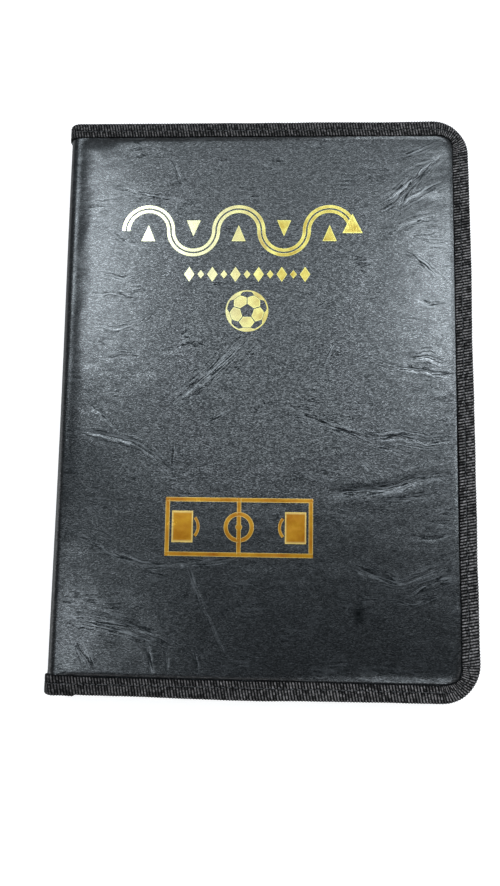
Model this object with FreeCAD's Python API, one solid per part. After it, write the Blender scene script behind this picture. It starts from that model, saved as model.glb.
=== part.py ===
import FreeCAD, Part
import math
import os

# Zip round coach's folder with two magnetic pitch boards, closed, lying on its back cover.
# X runs from the spine to the zip side, Y to the top of the page, Z up. Lengths are in mm.

# Outline of the closed folder
FOLDER_WIDTH = 245.0
FOLDER_HEIGHT = 342.0
OUTLINE_CORNER = 22.0
FOLD_RADIUS = 7.0

# Layers of a cover and of the spine, from the outside in
SKIN = 0.9
PADDING = 2.0
STIFFENER = 2.0
LINING = 0.6
SPINE_STIFFENER = 1.6
LEVEL_SHARE = 0.1

# Padded field of a cover
FIELD_GAP = 0.3
FIELD_SHOULDER = 3.5
FIELD_ROUND = 2.4
FIELD_MOUTH_CORNER = 6.0
FIELD_SPINE_CORNER = 12.0
HINGE_GROOVE = 4.0

# Binding tape folded over the free edges
BINDING = 0.9
BINDING_LEG = 10.5
BINDING_INNER_CORNER = 5.0
BINDING_ROUND_SHARE = 0.7

# Zip tapes, teeth and stops
ZIP_INSET = 8.0
ZIP_TAPE = 0.7
ZIP_END = 26.0
TOOTH_PITCH = 3.0
TOOTH_DEPTH = 2.2
TOOTH_REACH = 2.4
TOOTH_BITE = 0.8
TOOTH_SIDE_GAP = 0.2
TOOTH_HEAD_SHARE = 0.75
STOP_LENGTH = 2.5
STOP_GAP = 0.3

# Zip slider and pull tab
SLIDER_LENGTH = 11.0
SLIDER_PLATE = 1.2
SLIDER_CLEARANCE = 0.3
SLIDER_FLANGE = 1.75
SLIDER_FLANGE_TAIL = 0.9
SLIDER_TOOTH_MARGIN = 0.6
SLIDER_ROUND = 1.0
NECK_START = 0.8
NECK_LENGTH = 2.6
NECK_HEIGHT = 2.4
NECK_TIP_SHARE = 0.4
BRIDGE_LENGTH = 7.0
BRIDGE_POST = 1.3
BRIDGE_WIDTH = 2.0
BRIDGE_BAR = 1.2
TAB_THICKNESS = 1.2
TAB_SWING_GAP = 0.4
TAB_LENGTH = 26.0
TAB_WIDTH = 7.5
TAB_SIDE_GAP = 0.6
TAB_WINDOW = 5.0
TAB_ROUND = 2.6
TAB_GRIP = 2.6
TAB_GRIP_LENGTH = 10.0
GRIP_ROUND_SHARE = 0.45

# Board on the inside of each cover
BOARD_SPINE_INSET = 30.0
BOARD_EDGE_INSET = 20.0
BOARD_CORNER = 3.0
STEEL = 0.4
FILM = 0.4
FRAME_MARGIN = 4.0
FRAME_LIP = 4.0
FRAME_COVER = 0.8
FRAME_WINDOW_CORNER = 2.0

# Player magnets and the ball, each in a lane of its own across the pitch
PLAYER_COUNT = 11
LANE_GAP = 0.8
MAGNET_HEIGHT = 4.0
MAGNET_EDGE = 0.8
MAGNET_SIDE_GAP = 3.0
BALL_SHARE = 0.75

# Marker, its cap and the elastic loops that hold it on the spine
MARKER_RADIUS = 5.5
MARKER_TAIL_INSET = 20.0
BARREL_LENGTH = 92.0
NECK_STEP = 1.0
BARREL_NECK = 16.0
NOSE_LENGTH = 6.0
NOSE_TIP_SHARE = 0.5
NIB_LENGTH = 5.0
NIB_SHARE = 0.72
NIB_TIP_SHARE = 0.4
TAIL_PLUG = 7.0
TAIL_BEVEL = 1.2
CAP_WALL = 1.2
CAP_FIT = 0.2
CAP_END_ROOM = 3.0
CAP_END_WALL = 2.0
CAP_ROUND = 0.8
ERASER_LENGTH = 6.0
ERASER_STEP = 0.3
ERASER_BEVEL = 0.8
LOOP_FIT = 0.3
LOOP_BAND = 1.0
LOOP_WIDTH = 18.0
LOOP_FROM_TAIL = 16.0
LOOP_FROM_CAP = 5.0
LOOP_FOOT = 8.0
LOOP_COVER_ROOM = 1.7

# Levels that follow from the layers, measured up from the table for the back cover
RIM = PADDING
SKIN_INSIDE = PADDING + SKIN
STIFFENER_INSIDE = SKIN_INSIDE + STIFFENER
COVER = STIFFENER_INSIDE + LINING
BINDING_OUT = RIM - BINDING
BINDING_IN = COVER + BINDING
HEM_IN = BINDING_IN + ZIP_TAPE
STEEL_IN = COVER + STEEL
FILM_IN = STEEL_IN + FILM
FRAME_IN = FILM_IN + FRAME_COVER

# The closed depth leaves room for the marker in its loops
LOOP_INSIDE = MARKER_RADIUS + LOOP_FIT
LOOP_OUTSIDE = LOOP_INSIDE + LOOP_BAND
DEPTH = (COVER + LOOP_COVER_ROOM + LOOP_OUTSIDE) * 2
MID = DEPTH / 2

# Edges of the folder and the line where each cover meets its fold
LEFT = -FOLDER_WIDTH / 2
RIGHT = FOLDER_WIDTH / 2
TOP = FOLDER_HEIGHT / 2
SPINE_OUT = LEFT + BINDING
SPINE_SKIN_IN = SPINE_OUT + SKIN
SPINE_BOARD_IN = SPINE_SKIN_IN + SPINE_STIFFENER
SPINE_IN = SPINE_BOARD_IN + LINING
FOLD_X = SPINE_OUT + FOLD_RADIUS
FOLD_Z = RIM + FOLD_RADIUS

X_AXIS = FreeCAD.Vector(1, 0, 0)
Y_AXIS = FreeCAD.Vector(0, 1, 0)
Z_AXIS = FreeCAD.Vector(0, 0, 1)


# Shared shapes


def point(x, y, z):
    return FreeCAD.Vector(x, y, z)


def box(x0, x1, y0, y1, z0, z1):
    return Part.makeBox(x1 - x0, y1 - y0, z1 - z0, point(x0, y0, z0))


def rounded_wire(x0, x1, y0, y1, left_radius, right_radius, z):
    corners = [
        (point(x0, y0, z), Y_AXIS * -1, X_AXIS, left_radius),
        (point(x1, y0, z), X_AXIS, Y_AXIS, right_radius),
        (point(x1, y1, z), Y_AXIS, X_AXIS * -1, right_radius),
        (point(x0, y1, z), X_AXIS * -1, Y_AXIS * -1, left_radius),
    ]
    ends = []
    arcs = []
    for corner, way_in, way_out, radius in corners:
        first = corner - way_in * radius
        last = corner + way_out * radius
        centre = first + way_out * radius
        ends.append((first, last))
        if radius > 0:
            outward = (corner - centre).normalize()
            arcs.append(Part.Arc(first, centre + outward * radius, last).toShape())
        else:
            arcs.append(None)
    edges = []
    for index, (first, last) in enumerate(ends):
        if arcs[index]:
            edges.append(arcs[index])
        following = ends[(index + 1) % len(ends)][0]
        edges.append(Part.makeLine(last, following))
    return Part.Wire(edges)


def rounded_plate(x0, x1, y0, y1, left_radius, right_radius, z0, z1):
    face = Part.Face(rounded_wire(x0, x1, y0, y1, left_radius, right_radius, z0))
    return face.extrude(point(0, 0, z1 - z0))


def cover_plate(inset, left, z0, z1):
    right = RIGHT - inset
    half = TOP - inset
    return rounded_plate(left, right, -half, half, 0, OUTLINE_CORNER - inset, z0, z1)


def edge_band(outer_inset, inner_inset, inner_corner, left, z0, z1):
    outer = cover_plate(outer_inset, left, z0, z1)
    half = TOP - inner_inset
    right = RIGHT - inner_inset
    start = left - inner_inset
    inner = rounded_plate(start, right, -half, half, 0, inner_corner, z0, z1)
    return outer.cut(inner)


def joined(shapes):
    return shapes[0].fuse(shapes[1:]).removeSplitter()


def in_front(shape):
    return shape.mirror(point(0, 0, MID), Z_AXIS)


# Cover layers, made for the back cover and mirrored for the front one


def field_body(thinner, z_foot, z_crown):
    x0 = FOLD_X + HINGE_GROOVE + thinner
    x1 = RIGHT - BINDING_LEG - FIELD_GAP - thinner
    y1 = TOP - BINDING_LEG - FIELD_GAP - thinner
    near = FIELD_SPINE_CORNER
    far = FIELD_MOUTH_CORNER
    step = FIELD_SHOULDER
    foot = rounded_wire(x0, x1, -y1, y1, near, far, z_foot)
    crown = rounded_wire(
        x0 + step, x1 - step, step - y1, y1 - step, near - step, far - step, z_crown)
    body = Part.makeLoft([foot, crown], True, True)
    rim = [edge for edge in body.Edges if level_edge(edge, z_crown)]
    return body.makeFillet(FIELD_ROUND, rim)


def level_edge(edge, z):
    near = SKIN * LEVEL_SHARE
    return abs(edge.BoundBox.ZMin - z) < near and abs(edge.BoundBox.ZMax - z) < near


def make_padding():
    return field_body(SKIN, SKIN_INSIDE, SKIN)


def make_skin():
    rim = cover_plate(BINDING, FOLD_X, RIM, SKIN_INSIDE)
    field = field_body(0, RIM, 0)
    return joined([rim, field]).cut(make_padding())


def make_stiffener():
    return cover_plate(BINDING, FOLD_X, SKIN_INSIDE, STIFFENER_INSIDE)


def make_lining():
    return cover_plate(BINDING, FOLD_X, STIFFENER_INSIDE, COVER)


def outline_edge(edge, z):
    if not level_edge(edge, z):
        return False
    middle = edge.valueAt((edge.FirstParameter + edge.LastParameter) / 2)
    reach = OUTLINE_CORNER
    dx = max(middle.x - (RIGHT - reach), 0)
    dy = max(abs(middle.y) - (TOP - reach), 0)
    return math.hypot(dx, dy) > reach - BINDING / 2


def make_binding():
    outer = edge_band(0, BINDING_LEG, BINDING_INNER_CORNER, FOLD_X, BINDING_OUT, RIM)
    inner = edge_band(0, BINDING_LEG, BINDING_INNER_CORNER, FOLD_X, COVER, BINDING_IN)
    web = edge_band(0, BINDING, OUTLINE_CORNER - BINDING, FOLD_X, BINDING_OUT, BINDING_IN)
    tape = joined([outer, inner, web])
    edges = [e for e in tape.Edges if outline_edge(e, BINDING_OUT) or outline_edge(e, BINDING_IN)]
    return tape.makeFillet(BINDING * BINDING_ROUND_SHARE, edges)


# Board on the inside of a cover


def board_plate(grow, corner, z0, z1):
    x0 = LEFT + BOARD_SPINE_INSET - grow
    x1 = RIGHT - BOARD_EDGE_INSET + grow
    y1 = TOP - BOARD_EDGE_INSET + grow
    return rounded_plate(x0, x1, -y1, y1, corner, corner, z0, z1)


def make_steel():
    return board_plate(0, BOARD_CORNER, COVER, STEEL_IN)


def make_film():
    return board_plate(0, BOARD_CORNER, STEEL_IN, FILM_IN)


def make_frame():
    ring = board_plate(FRAME_MARGIN, BOARD_CORNER + FRAME_MARGIN, COVER, FRAME_IN)
    seat = board_plate(0, BOARD_CORNER, COVER, FILM_IN)
    window = board_plate(-FRAME_LIP, FRAME_WINDOW_CORNER, COVER, FRAME_IN)
    return ring.cut(seat).cut(window)


# Zip tapes and teeth on a track that runs round the three free edges

ZIP_LEFT = LEFT + ZIP_END
ZIP_TURN = OUTLINE_CORNER - ZIP_INSET
ZIP_RIGHT = RIGHT - ZIP_INSET
ZIP_TOP = TOP - ZIP_INSET
TURN_X = RIGHT - OUTLINE_CORNER
TURN_Y = TOP - OUTLINE_CORNER
SLIDER_LEFT = ZIP_LEFT + STOP_LENGTH + STOP_GAP
FIRST_TOOTH = STOP_LENGTH + STOP_GAP + NECK_START + NECK_LENGTH + TOOTH_PITCH / 2


def make_zip_tape():
    near = ZIP_INSET - ZIP_TAPE / 2
    far = ZIP_INSET + ZIP_TAPE / 2
    hem = edge_band(near, BINDING_LEG, BINDING_INNER_CORNER, ZIP_LEFT, BINDING_IN, HEM_IN)
    wall = edge_band(near, far, OUTLINE_CORNER - far, ZIP_LEFT, BINDING_IN, MID - TOOTH_REACH)
    return joined([hem, wall])


def track_length():
    straight = TURN_X - ZIP_LEFT
    return straight * 2 + TURN_Y * 2 + ZIP_TURN * math.pi


def on_track(along):
    straight = TURN_X - ZIP_LEFT
    turn = ZIP_TURN * math.pi / 2
    side = TURN_Y * 2
    if along < straight:
        return point(ZIP_LEFT + along, -ZIP_TOP, 0), 0
    along = along - straight
    if along < turn:
        angle = along / ZIP_TURN
        x = TURN_X + ZIP_TURN * math.sin(angle)
        return point(x, -TURN_Y - ZIP_TURN * math.cos(angle), 0), math.degrees(angle)
    along = along - turn
    if along < side:
        return point(ZIP_RIGHT, along - TURN_Y, 0), 90
    along = along - side
    if along < turn:
        angle = along / ZIP_TURN
        x = TURN_X + ZIP_TURN * math.cos(angle)
        return point(x, TURN_Y + ZIP_TURN * math.sin(angle), 0), 90 + math.degrees(angle)
    along = along - turn
    return point(TURN_X - along, ZIP_TOP, 0), 180


def placed(shape, along):
    spot, angle = on_track(along)
    copy = shape.copy()
    copy.Placement = FreeCAD.Placement(spot, FreeCAD.Rotation(Z_AXIS, angle))
    return copy


def make_tooth():
    root = TOOTH_PITCH / 2 - TOOTH_SIDE_GAP
    head = root * TOOTH_HEAD_SHARE
    y = -TOOTH_DEPTH / 2
    low = MID - TOOTH_REACH
    high = MID + TOOTH_BITE
    corners = [
        point(-root / 2, y, low),
        point(root / 2, y, low),
        point(head / 2, y, high),
        point(-head / 2, y, high),
        point(-root / 2, y, low),
    ]
    face = Part.Face(Part.makePolygon(corners))
    return face.extrude(point(0, TOOTH_DEPTH, 0))


def make_zip_teeth(start):
    tooth = make_tooth()
    last = track_length() - STOP_LENGTH - TOOTH_PITCH
    count = int((last - start) / TOOTH_PITCH)
    teeth = [placed(tooth, start + index * TOOTH_PITCH) for index in range(count)]
    half = TOOTH_DEPTH / 2
    upper = MID - NECK_HEIGHT / 2
    stop = box(0, STOP_LENGTH, -half, half, MID - TOOTH_REACH, upper)
    teeth.append(placed(stop, 0))
    teeth.append(placed(stop, track_length() - STOP_LENGTH))
    return Part.makeCompound(teeth)


# Zip slider with its bridge, and the pull tab

CHAIN_Y = -ZIP_TOP
CHAIN_HALF = TOOTH_DEPTH / 2 + SLIDER_CLEARANCE
PLATE_OUT = CHAIN_HALF + SLIDER_PLATE
TAPE_HALF = ZIP_TAPE / 2 + SLIDER_CLEARANCE
FLANGE_START = TOOTH_REACH + SLIDER_TOOTH_MARGIN
SLIDER_HALF = FLANGE_START + SLIDER_FLANGE
SLIDER_MIDDLE = SLIDER_LEFT + SLIDER_LENGTH / 2
TAB_LEVEL = PLATE_OUT + TAB_SWING_GAP + TAB_THICKNESS / 2
BRIDGE_HOLE = TAB_THICKNESS + TAB_SWING_GAP * 2
BRIDGE_OUT = PLATE_OUT + BRIDGE_HOLE + BRIDGE_BAR


def prism(profile, y0, y1):
    points = [point(x, y0, MID + z) for x, z in profile]
    points.append(points[0])
    return Part.Face(Part.makePolygon(points)).extrude(point(0, y1 - y0, 0))


def make_slider():
    x0 = SLIDER_LEFT
    x1 = SLIDER_LEFT + SLIDER_LENGTH
    y0 = CHAIN_Y - PLATE_OUT
    y1 = CHAIN_Y + PLATE_OUT
    tail = FLANGE_START + SLIDER_FLANGE_TAIL
    outline = [(x0, -SLIDER_HALF), (SLIDER_MIDDLE, -SLIDER_HALF), (x1, -tail)]
    outline = outline + [(x1, tail), (SLIDER_MIDDLE, SLIDER_HALF), (x0, SLIDER_HALF)]
    body = prism(outline, y0, y1)
    corners = [e for e in body.Edges if e.BoundBox.YLength > PLATE_OUT]
    body = body.makeFillet(SLIDER_ROUND, corners)
    channel = box(x0, x1, CHAIN_Y - CHAIN_HALF, CHAIN_Y + CHAIN_HALF, MID - FLANGE_START, MID + FLANGE_START)
    slot = box(x0, x1, CHAIN_Y - TAPE_HALF, CHAIN_Y + TAPE_HALF, MID - SLIDER_HALF, MID + SLIDER_HALF)
    body = body.cut(channel).cut(slot)
    half = NECK_HEIGHT / 2 - SLIDER_CLEARANCE
    neck_x = x0 + NECK_START
    wedge = [(neck_x, -half), (neck_x + NECK_LENGTH, -half * NECK_TIP_SHARE)]
    wedge = wedge + [(neck_x + NECK_LENGTH, half * NECK_TIP_SHARE), (neck_x, half)]
    neck = prism(wedge, CHAIN_Y - CHAIN_HALF, CHAIN_Y + CHAIN_HALF)
    return joined([body, neck, make_bridge()])


def make_bridge():
    x0 = SLIDER_MIDDLE - BRIDGE_LENGTH / 2
    x1 = SLIDER_MIDDLE + BRIDGE_LENGTH / 2
    z0 = MID - BRIDGE_WIDTH / 2
    z1 = MID + BRIDGE_WIDTH / 2
    arch = box(x0, x1, CHAIN_Y - BRIDGE_OUT, CHAIN_Y - PLATE_OUT, z0, z1)
    crown = [e for e in arch.Edges if e.BoundBox.ZLength > BRIDGE_WIDTH / 2]
    crown = [e for e in crown if e.BoundBox.YMax < CHAIN_Y - PLATE_OUT - BRIDGE_HOLE]
    arch = arch.makeFillet(BRIDGE_BAR, crown)
    y0 = CHAIN_Y - PLATE_OUT - BRIDGE_HOLE
    return arch.cut(box(x0 + BRIDGE_POST, x1 - BRIDGE_POST, y0, CHAIN_Y - PLATE_OUT, z0, z1))


def make_pull_tab():
    y0 = CHAIN_Y - TAB_LEVEL - TAB_THICKNESS / 2
    y1 = CHAIN_Y - TAB_LEVEL + TAB_THICKNESS / 2
    x0 = SLIDER_MIDDLE - TAB_THICKNESS / 2
    half = TAB_WIDTH / 2
    plate = box(x0, x0 + TAB_LENGTH, y0, y1, MID - half, MID + half)
    ends = [e for e in plate.Edges if e.BoundBox.YLength > TAB_THICKNESS / 2]
    ends = [e for e in ends if e.BoundBox.XMin > x0 + TAB_LENGTH / 2]
    plate = plate.makeFillet(TAB_ROUND, ends)
    gap = BRIDGE_WIDTH / 2 + TAB_SIDE_GAP
    w0 = x0 + TAB_THICKNESS
    plate = plate.cut(box(w0, w0 + TAB_WINDOW, y0, y1, MID - gap, MID + gap))
    g1 = x0 + TAB_LENGTH - TAB_ROUND
    grip = box(g1 - TAB_GRIP_LENGTH, g1, y0, y1, MID - TAB_GRIP / 2, MID + TAB_GRIP / 2)
    ends = [e for e in grip.Edges if e.BoundBox.YLength > TAB_THICKNESS / 2]
    return plate.cut(grip.makeFillet(TAB_GRIP * GRIP_ROUND_SHARE, ends))


# Spine with its two folds, their bindings and the pen loops


def fold_arc(inside, outside, y0, y1):
    centre = point(FOLD_X, y0, FOLD_Z)
    ring = Part.makeCylinder(outside, y1 - y0, centre, Y_AXIS)
    if inside > 0:
        ring = ring.cut(Part.makeCylinder(inside, y1 - y0, centre, Y_AXIS))
    corner = box(FOLD_X - outside, FOLD_X, y0, y1, FOLD_Z - outside, FOLD_Z)
    return ring.common(corner)


def make_fold_leather():
    half = TOP - BINDING
    return fold_arc(FOLD_RADIUS - SKIN, FOLD_RADIUS, -half, half)


def make_fold_binding():
    foot = TOP - BINDING_LEG
    end = TOP - BINDING
    inside = FOLD_RADIUS - SKIN - BINDING
    outside = FOLD_RADIUS + BINDING
    upper = [
        fold_arc(FOLD_RADIUS, outside, foot, TOP),
        fold_arc(inside, FOLD_RADIUS - SKIN, foot, TOP),
        fold_arc(inside, outside, end, TOP),
    ]
    tape = joined(upper)
    return Part.makeCompound([tape, tape.mirror(point(0, 0, 0), Y_AXIS)])


def spine_layer(x0, x1):
    half = TOP - BINDING
    return box(x0, x1, -half, half, FOLD_Z, DEPTH - FOLD_Z)


def make_spine_binding():
    foot = TOP - BINDING_LEG
    high = DEPTH - FOLD_Z
    outer = box(LEFT, SPINE_OUT, foot, TOP, FOLD_Z, high)
    inner = box(SPINE_IN, SPINE_IN + BINDING, foot, TOP, FOLD_Z, high)
    web = box(LEFT, SPINE_IN + BINDING, TOP - BINDING, TOP, FOLD_Z, high)
    tape = joined([outer, inner, web])
    return Part.makeCompound([tape, tape.mirror(point(0, 0, 0), Y_AXIS)])


MARKER_X = SPINE_IN + LOOP_OUTSIDE
MARKER_TAIL = MARKER_TAIL_INSET - TOP
BARREL_START = MARKER_TAIL + TAIL_PLUG
SHOULDER = BARREL_START + BARREL_LENGTH


def make_loops():
    loops = []
    for y0 in (BARREL_START + LOOP_FROM_TAIL, SHOULDER - LOOP_FROM_CAP - LOOP_WIDTH):
        centre = point(MARKER_X, y0, MID)
        ring = Part.makeCylinder(LOOP_OUTSIDE, LOOP_WIDTH, centre, Y_AXIS)
        half = LOOP_FOOT / 2
        foot = box(SPINE_IN, MARKER_X, y0, y0 + LOOP_WIDTH, MID - half, MID + half)
        bore = Part.makeCylinder(LOOP_INSIDE, LOOP_WIDTH, centre, Y_AXIS)
        loops.append(joined([ring, foot]).cut(bore))
    return Part.makeCompound(loops)


# Marker and cap, turned round the Y axis


def turned(profile):
    points = [point(MARKER_X + radius, y, MID) for radius, y in profile]
    points.append(points[0])
    face = Part.Face(Part.makePolygon(points))
    return face.revolve(point(MARKER_X, 0, MID), Y_AXIS, 360)


NOSE_START = SHOULDER + BARREL_NECK
NIB_START = NOSE_START + NOSE_LENGTH
NIB_END = NIB_START + NIB_LENGTH
CAP_END = NIB_END + CAP_END_ROOM + CAP_END_WALL
NECK_RADIUS = MARKER_RADIUS - NECK_STEP
NOSE_TIP = NECK_RADIUS * NOSE_TIP_SHARE


def make_barrel():
    return turned([
        (0, BARREL_START),
        (MARKER_RADIUS, BARREL_START),
        (MARKER_RADIUS, SHOULDER),
        (NECK_RADIUS, SHOULDER),
        (NECK_RADIUS, NOSE_START),
        (NOSE_TIP, NIB_START),
        (0, NIB_START),
    ])


def make_nib():
    radius = NOSE_TIP * NIB_SHARE
    return turned([
        (0, NIB_START),
        (radius, NIB_START),
        (radius, NIB_END - radius),
        (radius * NIB_TIP_SHARE, NIB_END),
        (0, NIB_END),
    ])


def make_tail_plug():
    plug = Part.makeCylinder(MARKER_RADIUS, TAIL_PLUG, point(MARKER_X, MARKER_TAIL, MID), Y_AXIS)
    tip = [e for e in plug.Edges if e.BoundBox.YMax < MARKER_TAIL + TAIL_PLUG / 2]
    return plug.makeChamfer(TAIL_BEVEL, tip)


def make_cap():
    inside = NECK_RADIUS + CAP_FIT
    outside = inside + CAP_WALL
    return turned([
        (inside, SHOULDER),
        (outside, SHOULDER),
        (outside, CAP_END - CAP_ROUND),
        (outside - CAP_ROUND, CAP_END),
        (0, CAP_END),
        (0, CAP_END - CAP_END_WALL),
        (inside, CAP_END - CAP_END_WALL),
    ])


def make_eraser():
    radius = NECK_RADIUS + CAP_FIT + CAP_WALL - CAP_ROUND - ERASER_STEP
    felt = Part.makeCylinder(radius, ERASER_LENGTH, point(MARKER_X, CAP_END, MID), Y_AXIS)
    tip = [e for e in felt.Edges if e.BoundBox.YMin > CAP_END + ERASER_LENGTH / 2]
    return felt.makeChamfer(ERASER_BEVEL, tip)


# Magnets, each in its own lane, red ones parked at the spine side and blue ones at the zip side

WINDOW_LEFT = LEFT + BOARD_SPINE_INSET + FRAME_LIP
WINDOW_RIGHT = RIGHT - BOARD_EDGE_INSET - FRAME_LIP
WINDOW_TOP = TOP - BOARD_EDGE_INSET - FRAME_LIP
LANES = PLAYER_COUNT * 2 + 1
LANE = WINDOW_TOP * 2 / LANES
MAGNET_RADIUS = (LANE - LANE_GAP) / 2


def make_magnet(x, lane, radius):
    y = LANE * (lane + 1 / 2) - WINDOW_TOP
    disc = Part.makeCylinder(radius, MAGNET_HEIGHT, point(x, y, FILM_IN), Z_AXIS)
    rim = [e for e in disc.Edges if level_edge(e, FILM_IN + MAGNET_HEIGHT)]
    return disc.makeChamfer(MAGNET_EDGE, rim)


def make_magnets():
    red_x = WINDOW_LEFT + MAGNET_SIDE_GAP + MAGNET_RADIUS
    blue_x = WINDOW_RIGHT - MAGNET_SIDE_GAP - MAGNET_RADIUS
    magnets = {}
    red = 0
    blue = 0
    for lane in range(LANES):
        if lane == PLAYER_COUNT:
            centre = (WINDOW_LEFT + WINDOW_RIGHT) / 2
            magnets["magnet_ball"] = make_magnet(centre, lane, MAGNET_RADIUS * BALL_SHARE)
        elif (lane % 2 == 0) == (lane < PLAYER_COUNT):
            red = red + 1
            magnets["magnet_red_%02d" % red] = make_magnet(red_x, lane, MAGNET_RADIUS)
        else:
            blue = blue + 1
            magnets["magnet_blue_%02d" % blue] = make_magnet(blue_x, lane, MAGNET_RADIUS)
    return magnets


# All nodes, one file each

cover_layers = {
    "skin": make_skin(),
    "padding": make_padding(),
    "stiffener": make_stiffener(),
    "lining": make_lining(),
    "binding": make_binding(),
    "zip_tape": make_zip_tape(),
    "steel_sheet": make_steel(),
    "pitch_film": make_film(),
    "board_frame": make_frame(),
}
nodes = {}
for name, shape in cover_layers.items():
    nodes["back_" + name] = shape
    nodes["front_" + name] = in_front(shape)
nodes["back_zip_teeth"] = make_zip_teeth(FIRST_TOOTH)
nodes["front_zip_teeth"] = in_front(make_zip_teeth(FIRST_TOOTH + TOOTH_PITCH / 2))
nodes["zip_slider"] = make_slider()
nodes["zip_pull_tab"] = make_pull_tab()
nodes["spine_skin"] = spine_layer(SPINE_OUT, SPINE_SKIN_IN)
nodes["spine_stiffener"] = spine_layer(SPINE_SKIN_IN, SPINE_BOARD_IN)
nodes["spine_lining"] = spine_layer(SPINE_BOARD_IN, SPINE_IN)
nodes["spine_binding"] = make_spine_binding()
nodes["lower_fold_leather"] = make_fold_leather()
nodes["upper_fold_leather"] = in_front(make_fold_leather())
nodes["lower_fold_binding"] = make_fold_binding()
nodes["upper_fold_binding"] = in_front(make_fold_binding())
nodes["pen_loops"] = make_loops()
nodes["marker_barrel"] = make_barrel()
nodes["marker_nib"] = make_nib()
nodes["marker_tail_plug"] = make_tail_plug()
nodes["marker_cap"] = make_cap()
nodes["marker_cap_eraser"] = make_eraser()
nodes.update(make_magnets())

os.makedirs("parts", exist_ok=True)
for name, shape in nodes.items():
    shape.exportStep("parts/" + name + ".step")
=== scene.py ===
# A zip-round tactics folder: two padded leathercloth covers on a spine, with a magnet board in each.
# Shapes are in millimetres and go to metres in the meshes.
import itertools
import math

import bpy
import numpy as np
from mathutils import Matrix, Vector, noise


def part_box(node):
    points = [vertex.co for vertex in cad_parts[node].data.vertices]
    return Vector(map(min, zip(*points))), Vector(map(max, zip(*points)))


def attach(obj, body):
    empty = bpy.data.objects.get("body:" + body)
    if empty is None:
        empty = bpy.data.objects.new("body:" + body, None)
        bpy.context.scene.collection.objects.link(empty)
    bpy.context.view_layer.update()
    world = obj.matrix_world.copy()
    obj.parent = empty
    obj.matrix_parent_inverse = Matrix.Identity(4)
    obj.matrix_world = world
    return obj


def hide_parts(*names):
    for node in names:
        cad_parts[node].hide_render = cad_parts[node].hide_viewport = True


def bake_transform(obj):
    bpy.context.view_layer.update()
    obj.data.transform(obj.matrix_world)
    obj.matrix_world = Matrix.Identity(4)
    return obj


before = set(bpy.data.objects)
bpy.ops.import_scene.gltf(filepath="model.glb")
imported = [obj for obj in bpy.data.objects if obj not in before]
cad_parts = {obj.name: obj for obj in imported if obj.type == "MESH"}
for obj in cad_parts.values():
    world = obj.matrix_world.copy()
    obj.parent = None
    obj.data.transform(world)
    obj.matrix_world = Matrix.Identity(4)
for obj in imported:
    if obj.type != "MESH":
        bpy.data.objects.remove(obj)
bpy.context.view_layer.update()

# The studio: the folder lies on a white table, and the camera is held above its lower half.
# Eight soft boxes hang over and round it, the strongest beyond its head; the room has pale walls.
scene = bpy.context.scene
scene.view_settings.view_transform = "Standard"

camera = bpy.data.objects.new("camera", bpy.data.cameras.new("camera"))
camera.location = (0.0075225, -0.071203, 0.410763)
camera.rotation_euler = (0.1140, 0.0357, 0.0150)
camera.data.sensor_width = 36
camera.data.lens = 27.089
scene.collection.objects.link(camera)
scene.camera = camera

DAYLIGHT = (0.83, 0.93, 1.0)


def soft_box(name, centre, width, depth, watts):
    """A square lamp that hangs level and shines down."""
    lamp = bpy.data.lights.new(name, "AREA")
    lamp.color = DAYLIGHT
    lamp.shape = "RECTANGLE"
    lamp.size = width
    lamp.size_y = depth
    lamp.energy = watts
    hung = bpy.data.objects.new(name, lamp)
    hung.location = centre
    scene.collection.objects.link(hung)


soft_box("left_soft_box", (-0.60, 0.62, 1.3), 0.42, 0.62, 7.3)
soft_box("right_soft_box", (0.56, 0.53, 1.3), 0.36, 0.46, 5.5)
soft_box("far_soft_box", (0.0, 0.62, 1.32), 0.8, 1.3, 5.2)
soft_box("near_left_soft_box", (-0.75, -0.42, 1.3), 0.70, 0.40, 3.3)
soft_box("near_right_soft_box", (0.62, 0.0, 1.3), 0.4, 0.4, 0.75)
soft_box("front_soft_box", (0.50, -1.30, 1.2), 0.45, 0.9, 3.6)
soft_box("head_soft_box", (0.60, 2.00, 1.2), 0.8, 1.0, 14.0)
soft_box("side_soft_box", (0.97, 0.36, 1.2), 0.28, 0.85, 5.2)


def put(tree, kind, inputs=None, **settings):
    """Adds a shader node; an input is a plain value or another node's output."""
    node = tree.nodes.new("ShaderNode" + kind)
    for name, value in settings.items():
        setattr(node, name, value)
    for name, value in (inputs or {}).items():
        if isinstance(value, bpy.types.NodeSocket):
            tree.links.new(value, node.inputs[name])
        else:
            node.inputs[name].default_value = value
    return node


def calc(tree, operation, *values, clamp=False):
    """The result of a Math node."""
    return put(tree, "Math", dict(enumerate(values)), operation=operation, use_clamp=clamp).outputs[0]


def ramp(tree, value, start=0.0, end=1.0, low=0.0, high=1.0, clamp=True):
    """Goes from low to high while a value goes from start to end."""
    return put(tree, "MapRange", {0: value, 1: start, 2: end, 3: low, 4: high}, clamp=clamp).outputs[0]


WHITE = (1.0, 1.0, 1.0, 1.0)
FRONT_TURN, SIDE_WALLS, FRONT_WALL = (0.1, -0.6), 0.2, 0.4
LEFT_TURN, LEFT_WALL = (-0.9, -0.4), 0.3
WALL_TOP, CEILING_START, CEILING_GLOW = 0.53, 0.78, 0.02
world = bpy.data.worlds.new("studio")
scene.world = world
world.use_nodes = True
room = world.node_tree
aim = put(room, "SeparateXYZ", {0: put(room, "TexCoord").outputs["Generated"]}).outputs
walls = ramp(room, aim["Y"], *FRONT_TURN, SIDE_WALLS, FRONT_WALL)
walls = calc(room, "MULTIPLY", walls, ramp(room, aim["X"], *LEFT_TURN, LEFT_WALL))
glow = ramp(room, aim["Z"], WALL_TOP, CEILING_START, walls, CEILING_GLOW)
rays = put(room, "LightPath").outputs
direct = calc(room, "MAXIMUM", rays["Is Camera Ray"], rays["Is Transmission Ray"])
backdrop = room.nodes["Background"].inputs
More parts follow.
